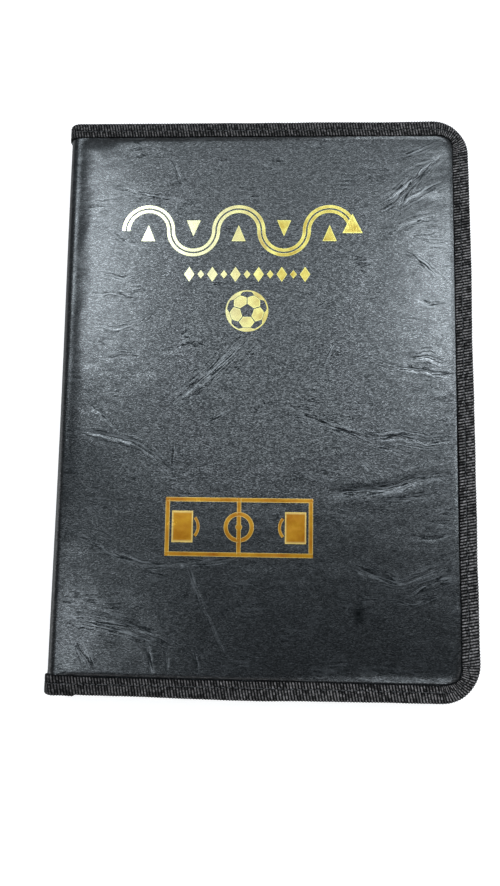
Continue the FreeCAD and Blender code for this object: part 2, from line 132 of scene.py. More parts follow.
backdrop["Color"].default_value = WHITE
room.links.new(ramp(room, direct, low=glow), backdrop["Strength"])

# The table is grey to the light and glows for the eye, a little less beside the folder than far away.
TABLE_HALF, TABLE_GREY, TABLE_ROUGH = 5.0, (0.4, 0.4, 0.4, 1.0), 0.9
NEAR, FAR, NEAR_WHITE = 0.4, 2.0, 0.84
corners = [(x * TABLE_HALF, y * TABLE_HALF, 0) for x, y in ((-1, -1), (1, -1), (1, 1), (-1, 1))]
table_mesh = bpy.data.meshes.new("table")
table_mesh.from_pydata(corners, [], [(0, 1, 2, 3)])
table = bpy.data.objects.new("table", table_mesh)
scene.collection.objects.link(table)
white_top = bpy.data.materials.new("white_table")
white_top.use_nodes = True
surface = white_top.node_tree
rays = put(surface, "LightPath").outputs
direct = calc(surface, "MAXIMUM", rays["Is Camera Ray"], rays["Is Transmission Ray"])
seen = calc(surface, "MAXIMUM", direct, rays["Is Glossy Ray"])
spot = put(surface, "TexCoord").outputs["Object"]
away = put(surface, "VectorMath", {0: spot}, operation="LENGTH").outputs["Value"]
lift = calc(surface, "MULTIPLY", seen, ramp(surface, away, NEAR, FAR, NEAR_WHITE))
plaster = surface.nodes["Principled BSDF"]
plaster.inputs["Base Color"].default_value = TABLE_GREY
plaster.inputs["Roughness"].default_value = TABLE_ROUGH
plaster.inputs["Specular IOR Level"].default_value = 0.0
plaster.inputs["Emission Color"].default_value = WHITE
surface.links.new(lift, plaster.inputs["Emission Strength"])
table_mesh.materials.append(white_top)

# Stiffeners and foam: grey card makes both covers and the spine stiff, and 2 mm foam pads the covers.
# They are cut flat and glued; the leather and the lining close round them, so they stay hidden.


def effect(name, takes, gives):
    """An empty shader effect with named sockets, to be shared between finishes."""
    group = bpy.data.node_groups.new(name, "ShaderNodeTree")
    for socket, kind in takes.items():
        group.interface.new_socket(socket, in_out="INPUT", socket_type="NodeSocket" + kind)
    for socket in gives:
        group.interface.new_socket(socket, in_out="OUTPUT", socket_type="NodeSocketFloat")
    return group, group.nodes.new("NodeGroupInput").outputs, group.nodes.new("NodeGroupOutput").inputs


def cloud(tree, place, scale, detail, roughness=0.5):
    """Noise that lies about 0.5."""
    inputs = {"Vector": place, "Scale": scale, "Detail": detail, "Roughness": roughness}
    return put(tree, "TexNoise", inputs).outputs[0]


def make_mottle():
    """Soft blotches of a given size, from 0 to 1."""
    group, takes, gives = effect("mottle", {"Vector": "Vector", "Size": "Float"}, ["Value"])
    scale = calc(group, "DIVIDE", 1000.0, takes["Size"])
    blotch = cloud(group, takes["Vector"], scale, 4.0, 0.6)
    group.links.new(ramp(group, blotch, 0.3, 0.7), gives["Value"])
    return group


mottle = make_mottle()


def mixed(tree, share, first, second):
    """A colour between a plain second one and a first, which may be another node's output."""
    first = first if isinstance(first, bpy.types.NodeSocket) else (*first, 1.0)
    return put(tree, "Mix", {0: share, 6: first, 7: (*second, 1.0)}, data_type="RGBA").outputs[2]


def new_finish(name, dark, light, size, rough, by_uv=False):
    """A finish whose colour and roughness drift between two values; rough is (low, high)."""
    material = bpy.data.materials.new(name)
    material.use_nodes = True
    tree = material.node_tree
    coords = put(tree, "TexCoord").outputs["UV" if by_uv else "Object"]
    drift = put(tree, "Group", {"Vector": coords, "Size": size}, node_tree=mottle).outputs["Value"]
    shader = tree.nodes["Principled BSDF"]
    tree.links.new(mixed(tree, drift, dark, light), shader.inputs["Base Color"])
    tree.links.new(ramp(tree, drift, low=rough[0], high=rough[1]), shader.inputs["Roughness"])
    return material, tree, shader, coords


def add_bump(tree, shader, height, depth):
    """Raises the surface by a height of 0 to 1 times depth."""
    bump = put(tree, "Bump", {"Height": height, "Distance": depth / 1000, "Strength": 1.0})
    tree.links.new(bump.outputs[0], shader.inputs["Normal"])


def dress(material, *names):
    """Gives CAD nodes a finish."""
    for name in names:
        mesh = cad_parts[name].data
        mesh.materials.clear()
        mesh.materials.append(material)


grey_card = new_finish("grey_card", (0.30, 0.28, 0.25), (0.42, 0.40, 0.37), 3.0, (0.85, 0.95))[0]
dress(grey_card, "back_stiffener", "front_stiffener", "spine_stiffener")
foam = new_finish("foam", (0.48, 0.48, 0.48), (0.60, 0.60, 0.60), 1.5, (0.9, 1.0))[0]
dress(foam, "back_padding", "front_padding")

# Leather covers: one sheet of crinkled black leathercloth wraps each cover, its fold and half the spine.
# The foam lifts it inside the sewn edge, and use has creased it.
RIGHT, TOP, DEPTH, OUTLINE_CORNER = 122.5, 171.0, 28.0, 22.0
MID, FOLD_Z, RIM = 14.0, 19.0, 26.0
SPINE_X, FOLD_X, FOLD_RADIUS, RISE_STEPS, TURN_STEPS = -121.6, -114.6, 7.0, 6, 15
LEATHER_X, LEATHER_Y, LEATHER_CORNER = 121.6, 170.1, 21.1
LEG_FOOT, LEG_HEAD = 10.0, 9.1
FIELD_LEFT, FIELD_GAP = -113.6, 0.3
FIELD_LEFT_CORNER, FIELD_FOOT_CORNER, FIELD_RIGHT_CORNER = 9.0, 1.0, 9.0
FOAM_LIFT, PILLOW, PILLOW_SHARE = 2.0, 34.0, 0.16
ROUND_X, EDGE_WALL = (-40.0, 20.0, 60.0), 0.6
ENDS_FROM, ENDS_TURN = 130.0, 25.0
FOOT_ROUND, FOOT_DROP = (1.6, 3.0, 6.0), (0.45, 0.40, 0.55)
HEAD_ROUND, HEAD_DROP = (3.6, 3.4, 4.2), (0.55, 0.50, 0.40)
SIDE_ROUND, SIDE_DROP = 3.2, 0.20
BANK_X = (-115.6, -114.0, -112.6, -111.0, -109.4, -107.8, -106.2, -104.6, -102.5, -100.0, -88.0)
BANK_RISE = (0.05, 0.11, 0.23, 0.385, 0.52, 0.63, 0.72, 0.785, 0.83, 0.86, 0.99)
BANK_FOOT, BANK_TURN, BANK_REACH, BANK_FADE = -60.0, 50.0, 28.0, 14.0
ROLL_START, ROLL = -119.5, 16.0
SQUARE, FOLD_CLEAR = 2.4, 3.0
SAG_ENDS, SAG_MIDDLE, SAG_Y, SAG_REACH, SAG_TURN = 0.38, 0.55, -10.0, 90.0, (0.2, 0.7)
MEAN_LEG = (LEG_FOOT + LEG_HEAD) / 2
SIDE_EDGE = RIGHT - MEAN_LEG - FIELD_GAP
FOOT_EDGE, HEAD_EDGE = LEG_FOOT + FIELD_GAP - TOP, TOP - LEG_HEAD - FIELD_GAP
EDGE_STEPS = np.array((-1.6, -0.8, -0.6, 0.0, 0.5, 3.5))
SLIDE_X, SLIDE_SHARE = (90.0, 105.0, 113.0, LEATHER_X), (0.0, 1.0, 1.0, 0.0)
WAVE, WAVE_SIZE, WAVE_FADE = 0.35, 75.0, 20.0
DENT, DENT_SIZE, DENT_FADE, DENT_LEAST, DENT_SQUASH, DENT_SEED = 0.10, 17.0, 8.0, 0.15, 1.4, 7.3
PUFF, PUFF_SIZE, PUFF_PLACE, PUFF_REACH, PUFF_SEED = 0.20, 15.0, 4.0, 6.0, 3.1
RIDGE, RIDGE_SIZE, RIDGE_FADE, RIDGE_LEAST, RIDGE_STRETCH, RIDGE_SEED = 0.035, 5.5, 3.0, 0.2, 0.55, 11.7


def even_steps(low, high, cell):
    """Measures from low to high in even steps of about one cell."""
    return np.linspace(low, high, int((high - low) / cell) + 1)


def leather_columns(cell):
    """Measures across a cover's leather, closer at the tape's edge and wide under the tape."""
    even = even_steps(FOLD_X, SIDE_EDGE + EDGE_STEPS[0], cell)
    return np.concatenate([even, SIDE_EDGE + EDGE_STEPS[1:], [LEATHER_X]])


def leather_rows(cell):
    """Measures up a cover's leather, closer at the tape's edges and wide under the tape."""
    even = even_steps(FOOT_EDGE - EDGE_STEPS[0], HEAD_EDGE + EDGE_STEPS[0], cell)
    foot, head = FOOT_EDGE - EDGE_STEPS[:0:-1], HEAD_EDGE + EDGE_STEPS[1:]
    return np.concatenate([[-LEATHER_Y], foot, even, head, [LEATHER_Y]])


def sheet_section(spine_x, rim, flat):
    """Stations from mid spine over the fold to the zip side: x, z, outward normal and flat measure."""
    round_x, round_z = FOLD_X - spine_x, rim - FOLD_Z
    rise = np.linspace(MID, FOLD_Z, RISE_STEPS)[:-1]
    turn = np.linspace(math.pi / 2, 0, TURN_STEPS)[:-1]
    up, level = np.zeros(len(rise)), np.zeros(len(flat))
    x = np.concatenate([up + spine_x, FOLD_X - round_x * np.sin(turn), flat])
    z = np.concatenate([rise, FOLD_Z + round_z * np.cos(turn), level + rim])
    out_x = np.concatenate([up - 1, -np.sin(turn), level])
    out_z = np.concatenate([up, np.cos(turn), level + 1])
    bend = (round_x + round_z) / 2
    along = np.concatenate([FOLD_X - bend * math.pi / 2 - FOLD_Z + rise, FOLD_X - bend * turn, flat])
    return x, z, out_x, out_z, along


def grid_faces(rows, columns, drop=None):
    """Squares between the points of a grid stored row by row, without those that are dropped."""
    first = (np.arange(rows - 1)[:, None] * columns + np.arange(columns - 1)).ravel()
    faces = np.stack([first, first + 1, first + 1 + columns, first + columns], axis=1)
    return faces if drop is None else faces[~drop.ravel()[faces].all(axis=1)]


def make_piece(name, points, faces, material, flat=None, smooth=True):
    """A mesh object from points in millimetres; flat gives each point's place on the uncut sheet."""
    points = np.asarray(points, float).reshape(-1, 3) / 1000
    mesh = bpy.data.meshes.new(name)
    mesh.from_pydata(points.tolist(), [], [list(map(int, face)) for face in faces])
    if flat is not None:
        corners = np.zeros(len(mesh.loops), np.int32)
        mesh.loops.foreach_get("vertex_index", corners)
        layer = mesh.uv_layers.new(name="flat")
        layer.data.foreach_set("uv", (np.asarray(flat, float).reshape(-1, 2)[corners] / 1000).ravel())
    mesh.polygons.foreach_set("use_smooth", [smooth] * len(mesh.polygons))
    mesh.materials.append(material)
    mesh.update()
    piece = bpy.data.objects.new(name, mesh)
    scene.collection.objects.link(piece)
    return piece


def ripple(x, y, size, octaves, seed):
    """Even noise over a sheet, about -1 to 1."""
    flat = zip(x.ravel() / size, y.ravel() / size)
    values = [noise.fractal(Vector((a, b, seed)), 1.0, 2.0, octaves) for a, b in flat]
    return np.array(values).reshape(x.shape)


def leg_width(y):
    """How wide the tape's leg is on the zip side, at a height of the cover."""
    return np.interp(y, (OUTLINE_CORNER - TOP, TOP - OUTLINE_CORNER), (LEG_FOOT, LEG_HEAD))


def field_depth(x, y):
    """How far a point lies inside the padded field's outline."""
    leg = leg_width(y)
    corner = np.where((x < 0) & (y > 0), FIELD_LEFT_CORNER, FIELD_RIGHT_CORNER)
    corner = np.where((x < 0) & (y < 0), FIELD_FOOT_CORNER, corner)
    over_x = np.where(x < 0, FIELD_LEFT - x, x - RIGHT + leg + FIELD_GAP) + corner
    over_y = np.abs(y) - TOP + leg + FIELD_GAP + corner
    beyond = np.hypot(np.maximum(over_x, 0), np.maximum(over_y, 0))
    return corner - beyond - np.minimum(np.maximum(over_x, over_y), 0)


def bank_share(y):
    """The bank beside the spine is full at the head of the cover and turns into a plain roll at the foot."""
    return np.clip((y - BANK_FOOT) / BANK_TURN, 0, 1)


def clear_of_tape(y):
    """How far a point lies inside the tape's edge at the foot or head."""
    return np.where(y < 0, -FOOT_EDGE, HEAD_EDGE) - np.abs(y)


def shoulder(inside, x, y):
    """The leather's edge at the tape: a steep wall and a round above it, which differ from side to side."""
    end = np.clip((np.abs(y) - ENDS_FROM) / ENDS_TURN, 0, 1)
    wide = np.where(y < 0, np.interp(x, ROUND_X, FOOT_ROUND), np.interp(x, ROUND_X, HEAD_ROUND))
    drop = np.where(y < 0, np.interp(x, ROUND_X, FOOT_DROP), np.interp(x, ROUND_X, HEAD_DROP))
    wide = SIDE_ROUND + (wide - SIDE_ROUND) * end
    drop = SIDE_DROP + (drop - SIDE_DROP) * end
    level = 1 - drop * (1 - np.clip((inside - EDGE_WALL) / wide, 0, 1)) ** 2
    return level * np.clip(inside / EDGE_WALL, 0, 1)


def foam_height(x, y):
    """How far the foam lifts the leather: a shoulder at the tape, a bank or roll at the spine, a pillow."""
    inside = field_depth(x, y)
    steep = shoulder(inside, x, y)
    bank = np.interp(FIELD_LEFT + inside, BANK_X, BANK_RISE)
    roll = 1 - (1 - np.clip((x - ROLL_START) / ROLL, 0, 1)) ** 2
    roll = np.minimum(roll, shoulder(clear_of_tape(y), x, y))
    slow = roll + (bank - roll) * bank_share(y)
    near = steep + (slow - steep) * np.clip((FIELD_LEFT + BANK_REACH - x) / BANK_FADE, 0, 1)
    far = 1 - (1 - np.clip(inside / PILLOW, 0, 1)) ** 2
    return FOAM_LIFT * ((1 - PILLOW_SHARE) * near + PILLOW_SHARE * far)


def fold_shape(out_x, out_z, y):
    """How far the fold stands outside a round one: it is squared, and its side sags in the middle."""
    stretch = (np.abs(out_x) ** SQUARE + np.abs(out_z) ** SQUARE) ** (-1 / SQUARE)
    sag = SAG_ENDS + SAG_MIDDLE * np.exp(-(((y - SAG_Y) / SAG_REACH) ** 2))
    turned = np.interp(np.abs(out_x), SAG_TURN, (0, 1))
    return (FOLD_RADIUS * (stretch - 1) - sag * turned) * np.clip(clear_of_tape(y) / FOLD_CLEAR, 0, 1)


CREASE_FULL, CREASE_SINK, CREASE_STEP, CREASE_WANDER, CREASE_SWAY = 0.15, 0.7, 0.6, 0.5, 5.0
CREASE_REACH, CREASE_FADE, CREASE_SOFT, STRAND = 4.0, 6.0, 12, 1.4
# A crease's section: the height, place and width of its two lips and its trough, in half widths.
CREASE_SECTION = ((0.55, 1.7, 1.1), (0.30, -1.8, 1.3), (-1.0, 0.0, 1.0))


def read_at(measures, along, line):
    """A line's points at given measures along it."""
    return np.stack([np.interp(measures, along, column) for column in line.T], axis=1)


def sideways(line):
    """The unit way to the left of a flat line at each of its points."""
    ahead = np.gradient(line, axis=0)
    ahead /= np.hypot(*ahead.T)[:, None]
    return np.stack([-ahead[:, 1], ahead[:, 0]], axis=1)


def waver(along, size, seed=0.0, start=0.0):
    """Even noise along a line, about -1 to 1."""
    return np.array([noise.noise(Vector((start + s / size, seed, 0))) for s in along])


def crease_line(points, draws):
    """A smooth line through a crease's points that wanders a little, and the way across it."""
    points = np.array(points, float)
    lengths = np.concatenate([[0], np.cumsum(np.hypot(*np.diff(points, axis=0).T))])
    steps = np.linspace(0, lengths[-1], max(6, int(lengths[-1] / CREASE_STEP)))
    soft = max(1, len(steps) // CREASE_SOFT)
    kernel = np.hanning(soft * 2 + 3)[1:-1]
    rough = read_at(steps, lengths, points)
    padded = np.pad(rough, ((soft, soft), (0, 0)), mode="reflect", reflect_type="odd")
    line = np.stack([np.convolve(column, kernel / kernel.sum(), "valid") for column in padded.T], axis=1)
    side = sideways(line)
    sway = waver(steps, CREASE_SWAY, start=draws.uniform(0, 50)) * CREASE_WANDER
    return line + side * sway[:, None], side


def press_crease(height, flow, x, y, crease, draws):
    """Presses a crease into a height map, and marks the way across it, the way along and its strength."""
    points, depth, width, spread = crease
    line, side = crease_line(points, draws)
    half = width * STRAND + spread / 2
    reach = half * 2 + CREASE_REACH
    low, high = line.min(axis=0) - reach, line.max(axis=0) + reach
    near = np.nonzero((x > low[0]) & (x < high[0]) & (y > low[1]) & (y < high[1]))
    spots = np.stack([x[near], y[near]], axis=1)
    apart = spots[:, None] - line[None]
    distance = (apart**2).sum(axis=2)
    closest = distance.argmin(axis=1)
    rows = np.arange(len(spots))
    across = (apart[rows, closest] * side[closest]).sum(axis=1)
    ahead = side[closest] @ np.array([[0, -1], [1, 0]])
    along = closest * math.dist(line[0], line[1]) + (apart[rows, closest] * ahead).sum(axis=1)
    past_end = np.maximum(distance[rows, closest] - across**2, 0)
    share = np.clip(closest / (len(line) - 1), 0.02, 0.98)
    fade = np.sin(np.pi * share) ** 0.55 * np.exp(-past_end / CREASE_FADE)
    strength = min(depth / CREASE_FULL, 1) * fade * np.exp(-((across / half) ** 2))
    stronger = strength > flow[near][:, 2]
    place = tuple(index[stronger] for index in near)
    offset = draws.uniform(0, 90, 2)
    flow[place] = np.stack([across + offset[0], along + offset[1], strength], axis=1)[stronger]
    section = 0.0
    for tall, at, wide in CREASE_SECTION:
        section = section + tall * np.exp(-(((across - at * width) / (wide * width)) ** 2))
    height[near] += CREASE_SINK * depth * fade * section


# Each crease: its points on the cover, depth, half width, and how far its strands spread.
CREASES = [
    ([(-8, 36), (-18, 26), (-30, 14), (-41, 4.5), (-54, -5)], 0.149, 0.8, 9.2),
    ([(-1, 33), (-12, 19), (-24, 8)], 0.074, 0.8, 6.0),
    ([(-114, -21), (-95, -23), (-72, -28), (-60, -37), (-51.7, -44)], 0.211, 1.0, 3.2),
    ([(-104, -4), (-96, -9.6), (-87, -18), (-80, -24)], 0.124, 0.9, 0.0),
    ([(-15, -5), (-27, -13), (-39.5, -20)], 0.099, 0.8, 0.0),
    ([(-50.3, -28), (-51.7, -46)], 0.161, 0.9, 0.0),
    ([(-51.7, -48), (-38, -43), (-18, -36), (-4, -30)], 0.074, 0.8, 0.0),
    ([(10, -7), (31, -14), (52, -22), (84, -33.5)], 0.161, 0.9, 4.4),
    ([(52, -22), (68, -24), (79, -23), (95, -26), (109, -25)], 0.149, 0.9, 7.2),
    ([(66, 22.6), (77, 18.5), (88, 16), (111, 13)], 0.186, 0.9, 2.6),
    ([(86, 23), (96, 24), (105, 21)], 0.11, 1.4, 4.5),
    ([(36, -56.5), (50, -55), (62, -54), (74, -52.5), (90, -46.6), (108, -44)], 0.42, 2.8, 0.0),
    ([(60, -60), (80, -59), (100, -55)], 0.125, 1.8, 0.0),
    ([(55, -36), (63, -42.5)], 0.149, 0.8, 0.0),
    ([(58, -44), (64, -52)], 0.099, 0.8, 0.0),
    ([(43, 34), (39, 25), (35.7, 18)], 0.099, 0.8, 2.0),
    ([(52, 13), (53, 3), (56, -4)], 0.112, 0.8, 0.0),
    ([(60, 8), (63, 2), (66, -4)], 0.062, 0.8, 0.0),
    ([(106, 157), (92, 150), (78, 146)], 0.099, 0.9, 3.0),
    ([(93, 136), (84, 127), (77, 120), (68, 114)], 0.136, 0.9, 6.8),
    ([(80, 101), (88, 106), (103, 109)], 0.124, 1.0, 4.0),
    ([(79, 89), (86, 86), (94, 81), (106, 70)], 0.112, 0.9, 3.0),
    ([(88, 60), (98, 55), (108, 56)], 0.136, 1.2, 0.0),
    (
        [(-108, -80), (-93, -88), (-78, -94), (-64, -97.6), (-43, -97), (-22, -95.7), (-4, -89)],
        0.136,
        0.8,
        2.0,
    ),
    ([(-108, -66), (-92, -78), (-80, -86)], 0.062, 0.8, 0.0),
    ([(-44, -88), (-38, -107), (-32.5, -120), (-26.6, -132), (-18.5, -148)], 0.136, 0.8, 0.0),
    ([(-114, -128), (-99, -129.5), (-83, -132), (-60, -137.5), (-47, -143)], 0.149, 0.9, 7.8),
    ([(-104, -121), (-86, -125), (-70, -128)], 0.087, 0.9, 2.6),
    ([(-103, -140), (-97, -150), (-94, -156)], 0.124, 1.0, 4.0),
    ([(-63, -143), (-59.5, -160)], 0.149, 0.9, 0.0),
    ([(-52, -145), (-51, -157)], 0.099, 0.9, 0.0),
    ([(-37, -145), (-33, -157)], 0.087, 0.9, 0.0),
    ([(108.5, -101), (101, -103.5), (90, -107), (84, -112)], 0.149, 1.0, 4.0),
    ([(109, -78), (96, -81), (84, -80)], 0.124, 1.1, 0.0),
    ([(-95, 130), (-76, 123), (-57, 121), (-42, 117)], 0.087, 0.9, 2.2),
    ([(-60, 150), (-54, 140), (-50, 128), (-44, 120)], 0.074, 0.9, 2.4),
    ([(-102, 42), (-88, 40), (-74, 44), (-62, 52)], 0.099, 0.9, 2.6),
    ([(-106, 60), (-90, 62), (-76, 58)], 0.087, 0.9, 2.4),
    ([(-98, 20), (-84, 24), (-70, 23)], 0.087, 0.9, 3.0),
    ([(30, 70), (34, 62), (36, 54)], 0.087, 0.8, 0.0),
    ([(12, 40), (22, 50), (40, 58), (52, 66)], 0.062, 0.9, 2.6),
    ([(108, 150), (96, 139), (85, 126), (77, 108)], 0.11, 0.8, 5.2),
    ([(111, 133), (100, 128), (86, 119), (74, 111)], 0.10, 0.8, 5.2),
    ([(104, 146), (90, 141), (80, 134)], 0.08, 0.8, 2.6),
    ([(109, -95), (95, -100), (78, -106), (62, -101), (50, -97)], 0.12, 0.9, 5.2),
    ([(100, -112), (86, -117), (70, -114)], 0.09, 0.9, 2.6),
    ([(-100, 75), (-84, 70), (-72, 76)], 0.08, 0.9, 2.4),
    ([(-92, 100), (-80, 92), (-64, 90)], 0.07, 0.9, 2.4),
]


def creased_height(x, y, creases, seed):
    """All creases of a cover: how deep they press the leather, and how their fine lines run."""
    draws = np.random.default_rng(seed)
    height, flow = np.zeros_like(x), np.zeros((*x.shape, 3))
    for crease in creases:
        press_crease(height, flow, x, y, crease, draws)
    return height, flow


def turned_over(points, faces):
    """A shape for the other cover: mirrored at mid depth, with its faces still outward."""
    return points * (1, 1, -1) + (0, 0, DEPTH), [face[::-1] for face in faces]


def rounded(x, y, half_x, half_y, corner):
    """A sheet's points pulled in to its round corners on the zip side, and which of them were outside."""
    over_x = np.maximum(x - (half_x - corner), 0)
    over_y = np.maximum(np.abs(y) - (half_y - corner), 0)
    reach = np.hypot(over_x, over_y)
    outside = (over_x > 0) & (over_y > 0) & (reach > corner)
    pull = np.where(outside, corner / np.maximum(reach, 1e-6), 1.0)
    round_x = np.where(outside, half_x - corner + over_x * pull, x)
    return round_x, np.where(outside, np.sign(y) * (half_y - corner + over_y * pull), y), outside


def cover_leather(name, cell, creases, seed, flipped, material):
    """One cover's leather, with its flat height map on the panel for whatever is stamped on it."""
    x, z, out_x, out_z, along = sheet_section(SPINE_X, RIM, leather_columns(cell))
    rows = leather_rows(cell)
    flat_x, flat_y = np.meshgrid(along, rows)
    slide = (MEAN_LEG - leg_width(flat_y)) * np.interp(flat_x, SLIDE_X, SLIDE_SHARE)
    flat_x = flat_x + slide
    inside = field_depth(flat_x, flat_y)
    lift = foam_height(flat_x, flat_y) + fold_shape(out_x, out_z, flat_y)
    lift += WAVE * ripple(flat_x, flat_y, WAVE_SIZE, 2, seed) * np.clip(inside / WAVE_FADE, 0, 1)
    dents = ripple(flat_x, flat_y * DENT_SQUASH, DENT_SIZE, 2, seed + DENT_SEED)
    lift += DENT * dents * np.clip(inside / DENT_FADE, DENT_LEAST, 1)
    puff = np.exp(-((inside - PUFF_PLACE) / PUFF_REACH) ** 2)
    lift += PUFF * puff * ripple(flat_x, flat_y, PUFF_SIZE, 1, seed + PUFF_SEED)
    ridges = ripple(flat_x * RIDGE_STRETCH, flat_y, RIDGE_SIZE, 2, seed + RIDGE_SEED)
    lift += RIDGE * (1 - 2 * np.abs(ridges)) * np.clip(inside / RIDGE_FADE + 1, RIDGE_LEAST, 1)
    pressed, flow = creased_height(flat_x, flat_y, creases, seed)
    lift += pressed
    place_x = x + slide + lift * out_x
    place_x, place_y, outside = rounded(place_x, flat_y, LEATHER_X, LEATHER_Y, LEATHER_CORNER)
    points = np.stack([place_x, place_y, z + lift * out_z], axis=2)
    faces = grid_faces(*flat_x.shape, drop=outside)
    if flipped:
        points, faces = turned_over(points, faces)
        points[..., 2] = np.maximum(points[..., 2], 0.0)
    piece = make_piece(name, points, faces, material, np.stack([flat_x, flat_y], axis=2))
    worn = piece.data.attributes.new("crease", "FLOAT_VECTOR", "POINT")
    worn.data.foreach_set("vector", flow.astype(np.float32).ravel())
    return piece, (along, rows, z + lift)


GRAIN, GRAIN_DEPTH, GRAIN_WARP, PEBBLE = 0.38, 0.016, (1.6, 1.6, 0.0), (0.5, 1.6, 1.0)
FLECK_RUN, FLECK_LEVEL, SHINE_DRIFT = (0.16, 0.75, 0.0), (0.61, 0.68), 0.08
LINE_RUN, LINE_CORE, LINE_EDGE = (0.7, 0.05, 0.0), 0.016, 0.07
# Crease lines: the light ones are painted highlight on the lips, the dark ones painted shade in the troughs.
LIT_AND_SHADED_LINES = (("Light", 0.52, 1.05), ("Dark", 0.44, 1.5))
WRINKLE_ACROSS, WRINKLE_ALONG, WRINKLE_BEND, WRINKLE_MOST = 560.0, 1300.0, 4.0, 0.3
WANDER, PATCH, PATCH_LEVEL = 28.0, 55.0, (0.5, 0.7)
BLACK, BLACK_WORN, BLACK_SIZE = (0.0064, 0.0068, 0.0076), (0.0098, 0.0104, 0.0116), 30.0
# The grey below serves rubbed flecks and the painted highlight on crease lips; the last number darkens crease
# troughs as painted shade.
RUBBED_AND_LIT, FLECK, RUB_AND_HIGHLIGHT, LINE_GLOSS, LINE_SHADE = (0.16, 0.168, 0.178), 0.5, 0.4, 0.3, 0.6
GLOSS, GLOSS_TINT, COAT_ROUGH, COAT_IOR = 0.12, (0.80, 0.93, 1.0, 1.0), 0.26, 3.1
SHINE_POWER, SHINE_MEAN, SHADE_POWER, SHADE = 3.4, 0.23, 2.0, (0.5, 2.0)
HEAD_SPARKLE, SIDE_SPARKLE, LOW_SIDE_SPARKLE, FOOT_SPARKLE, MOST_SPARKLE = 0.48, 0.26, 0.5, 0.45, 0.68
HEAD_CALM, FOOT_CALM, SIDE_CALM, LOW_SIDE = (0.13, 0.02), (-0.085, -0.05), (0.09, 0.04), (0.05, -0.01)
FOLD_WORN, FOLD_FRESH = -0.1213, -0.1173
STAIN, STAIN_SQUEEZE, STAIN_EDGE = (55.6, -124.1), 1.7, (0.002, 0.0068)
LEATHER_ROUGH, FRONT_CELL, FRONT_SEED, BACK_CELL, BACK_SEED = (0.36, 0.44), 0.94, 5, 1.9, 8


def scaled(tree, vector, factor):
    """A vector or colour times one number."""
    return put(tree, "VectorMath", {0: vector, "Scale": factor}, operation="SCALE").outputs[0]


def per_axis(tree, vector, factors):
    """A vector times a number for each axis."""
    return put(tree, "VectorMath", {0: vector, 1: factors}, operation="MULTIPLY").outputs[0]


def base_of(shader):
    """The colour that a finish has so far."""
    return shader.inputs["Base Color"].links[0].from_socket


def make_crinkle():
    """Leather grain: fine pebbles, each with a shine of its own, and short rubbed flecks."""
    takes = {"Vector": "Vector", "Cell": "Float"}
    group, takes, gives = effect("crinkle", takes, ["Height", "Shine", "Fleck"])
    cells = scaled(group, takes["Vector"], calc(group, "DIVIDE", 1000.0, takes["Cell"]))
    warp = put(group, "TexNoise", {"Vector": cells, "Scale": 0.4, "Detail": 2.0}).outputs["Color"]
    warp = put(group, "VectorMath", {0: warp, 1: (0.5, 0.5, 0.5)}, operation="SUBTRACT").outputs[0]
    bent = {0: warp, 1: GRAIN_WARP, 2: cells}
    bent = put(group, "VectorMath", bent, operation="MULTIPLY_ADD").outputs[0]
    wide = per_axis(group, bent, PEBBLE)
    pebble = put(group, "TexVoronoi", {"Vector": wide, "Scale": 1.0}, voronoi_dimensions="2D").outputs
    height = calc(group, "SUBTRACT", cloud(group, bent, 1.5, 2.0), pebble["Distance"])
    group.links.new(height, gives["Height"])
    own = put(group, "SeparateColor", {0: pebble["Color"]}).outputs[0]
    drift = cloud(group, bent, 0.42, 2.0, 0.6)
    drift = ramp(group, drift, 0.3, 0.7, -SHINE_DRIFT, SHINE_DRIFT, clamp=False)
    group.links.new(calc(group, "ADD", own, drift, clamp=True), gives["Shine"])
    long = cloud(group, per_axis(group, bent, FLECK_RUN), 1.0, 1.0)
    group.links.new(ramp(group, long, *FLECK_LEVEL), gives["Fleck"])
    return group


def make_crease_lines():
    """The fine light and dark lines of a crease, which run along it and break off: painted highlight on its
    lips and painted shade in its troughs.
    """
    group, takes, gives = effect("crease_lines", {"Vector": "Vector"}, ["Light", "Dark"])
    strength = put(group, "SeparateXYZ", {0: takes["Vector"]}).outputs["Z"]
    run = cloud(group, per_axis(group, takes["Vector"], LINE_RUN), 1.0, 1.2)
    for name, level, most in LIT_AND_SHADED_LINES:
        off = calc(group, "ABSOLUTE", calc(group, "SUBTRACT", run, level))
        line = ramp(group, off, LINE_CORE, LINE_EDGE, most, 0.0)
        group.links.new(calc(group, "MULTIPLY", line, strength), gives[name])
    return group


crinkle = make_crinkle()
crease_lines = make_crease_lines()


def leather_lines(tree, coords, place, fleck):
    """Where leather is painted light and dark: rubbed flecks, and painted highlight on the lips and painted
    shade in the troughs of creases and of patches of fine wrinkles.
    """
    flow = put(tree, "Attribute", attribute_name="crease", attribute_type="GEOMETRY").outputs["Vector"]
    across = calc(tree, "MULTIPLY", place["Y"], WRINKLE_ACROSS)
    across = calc(tree, "MULTIPLY_ADD", cloud(tree, coords, WANDER, 1.0), WRINKLE_BEND, across)
    along = calc(tree, "MULTIPLY", place["X"], WRINKLE_ALONG)
    patch = ramp(tree, cloud(tree, coords, PATCH, 1.0), *PATCH_LEVEL, 0.0, WRINKLE_MOST)
    slack = put(tree, "CombineXYZ", {"X": across, "Y": along, "Z": patch}).outputs[0]
    light, dark = calc(tree, "MULTIPLY", fleck, FLECK), 0.0
    for way in (flow, slack):
        marks = put(tree, "Group", {"Vector": way}, node_tree=crease_lines).outputs
        light = calc(tree, "MAXIMUM", light, marks["Light"])
        dark = calc(tree, "MAXIMUM", marks["Dark"], dark)
    return light, dark


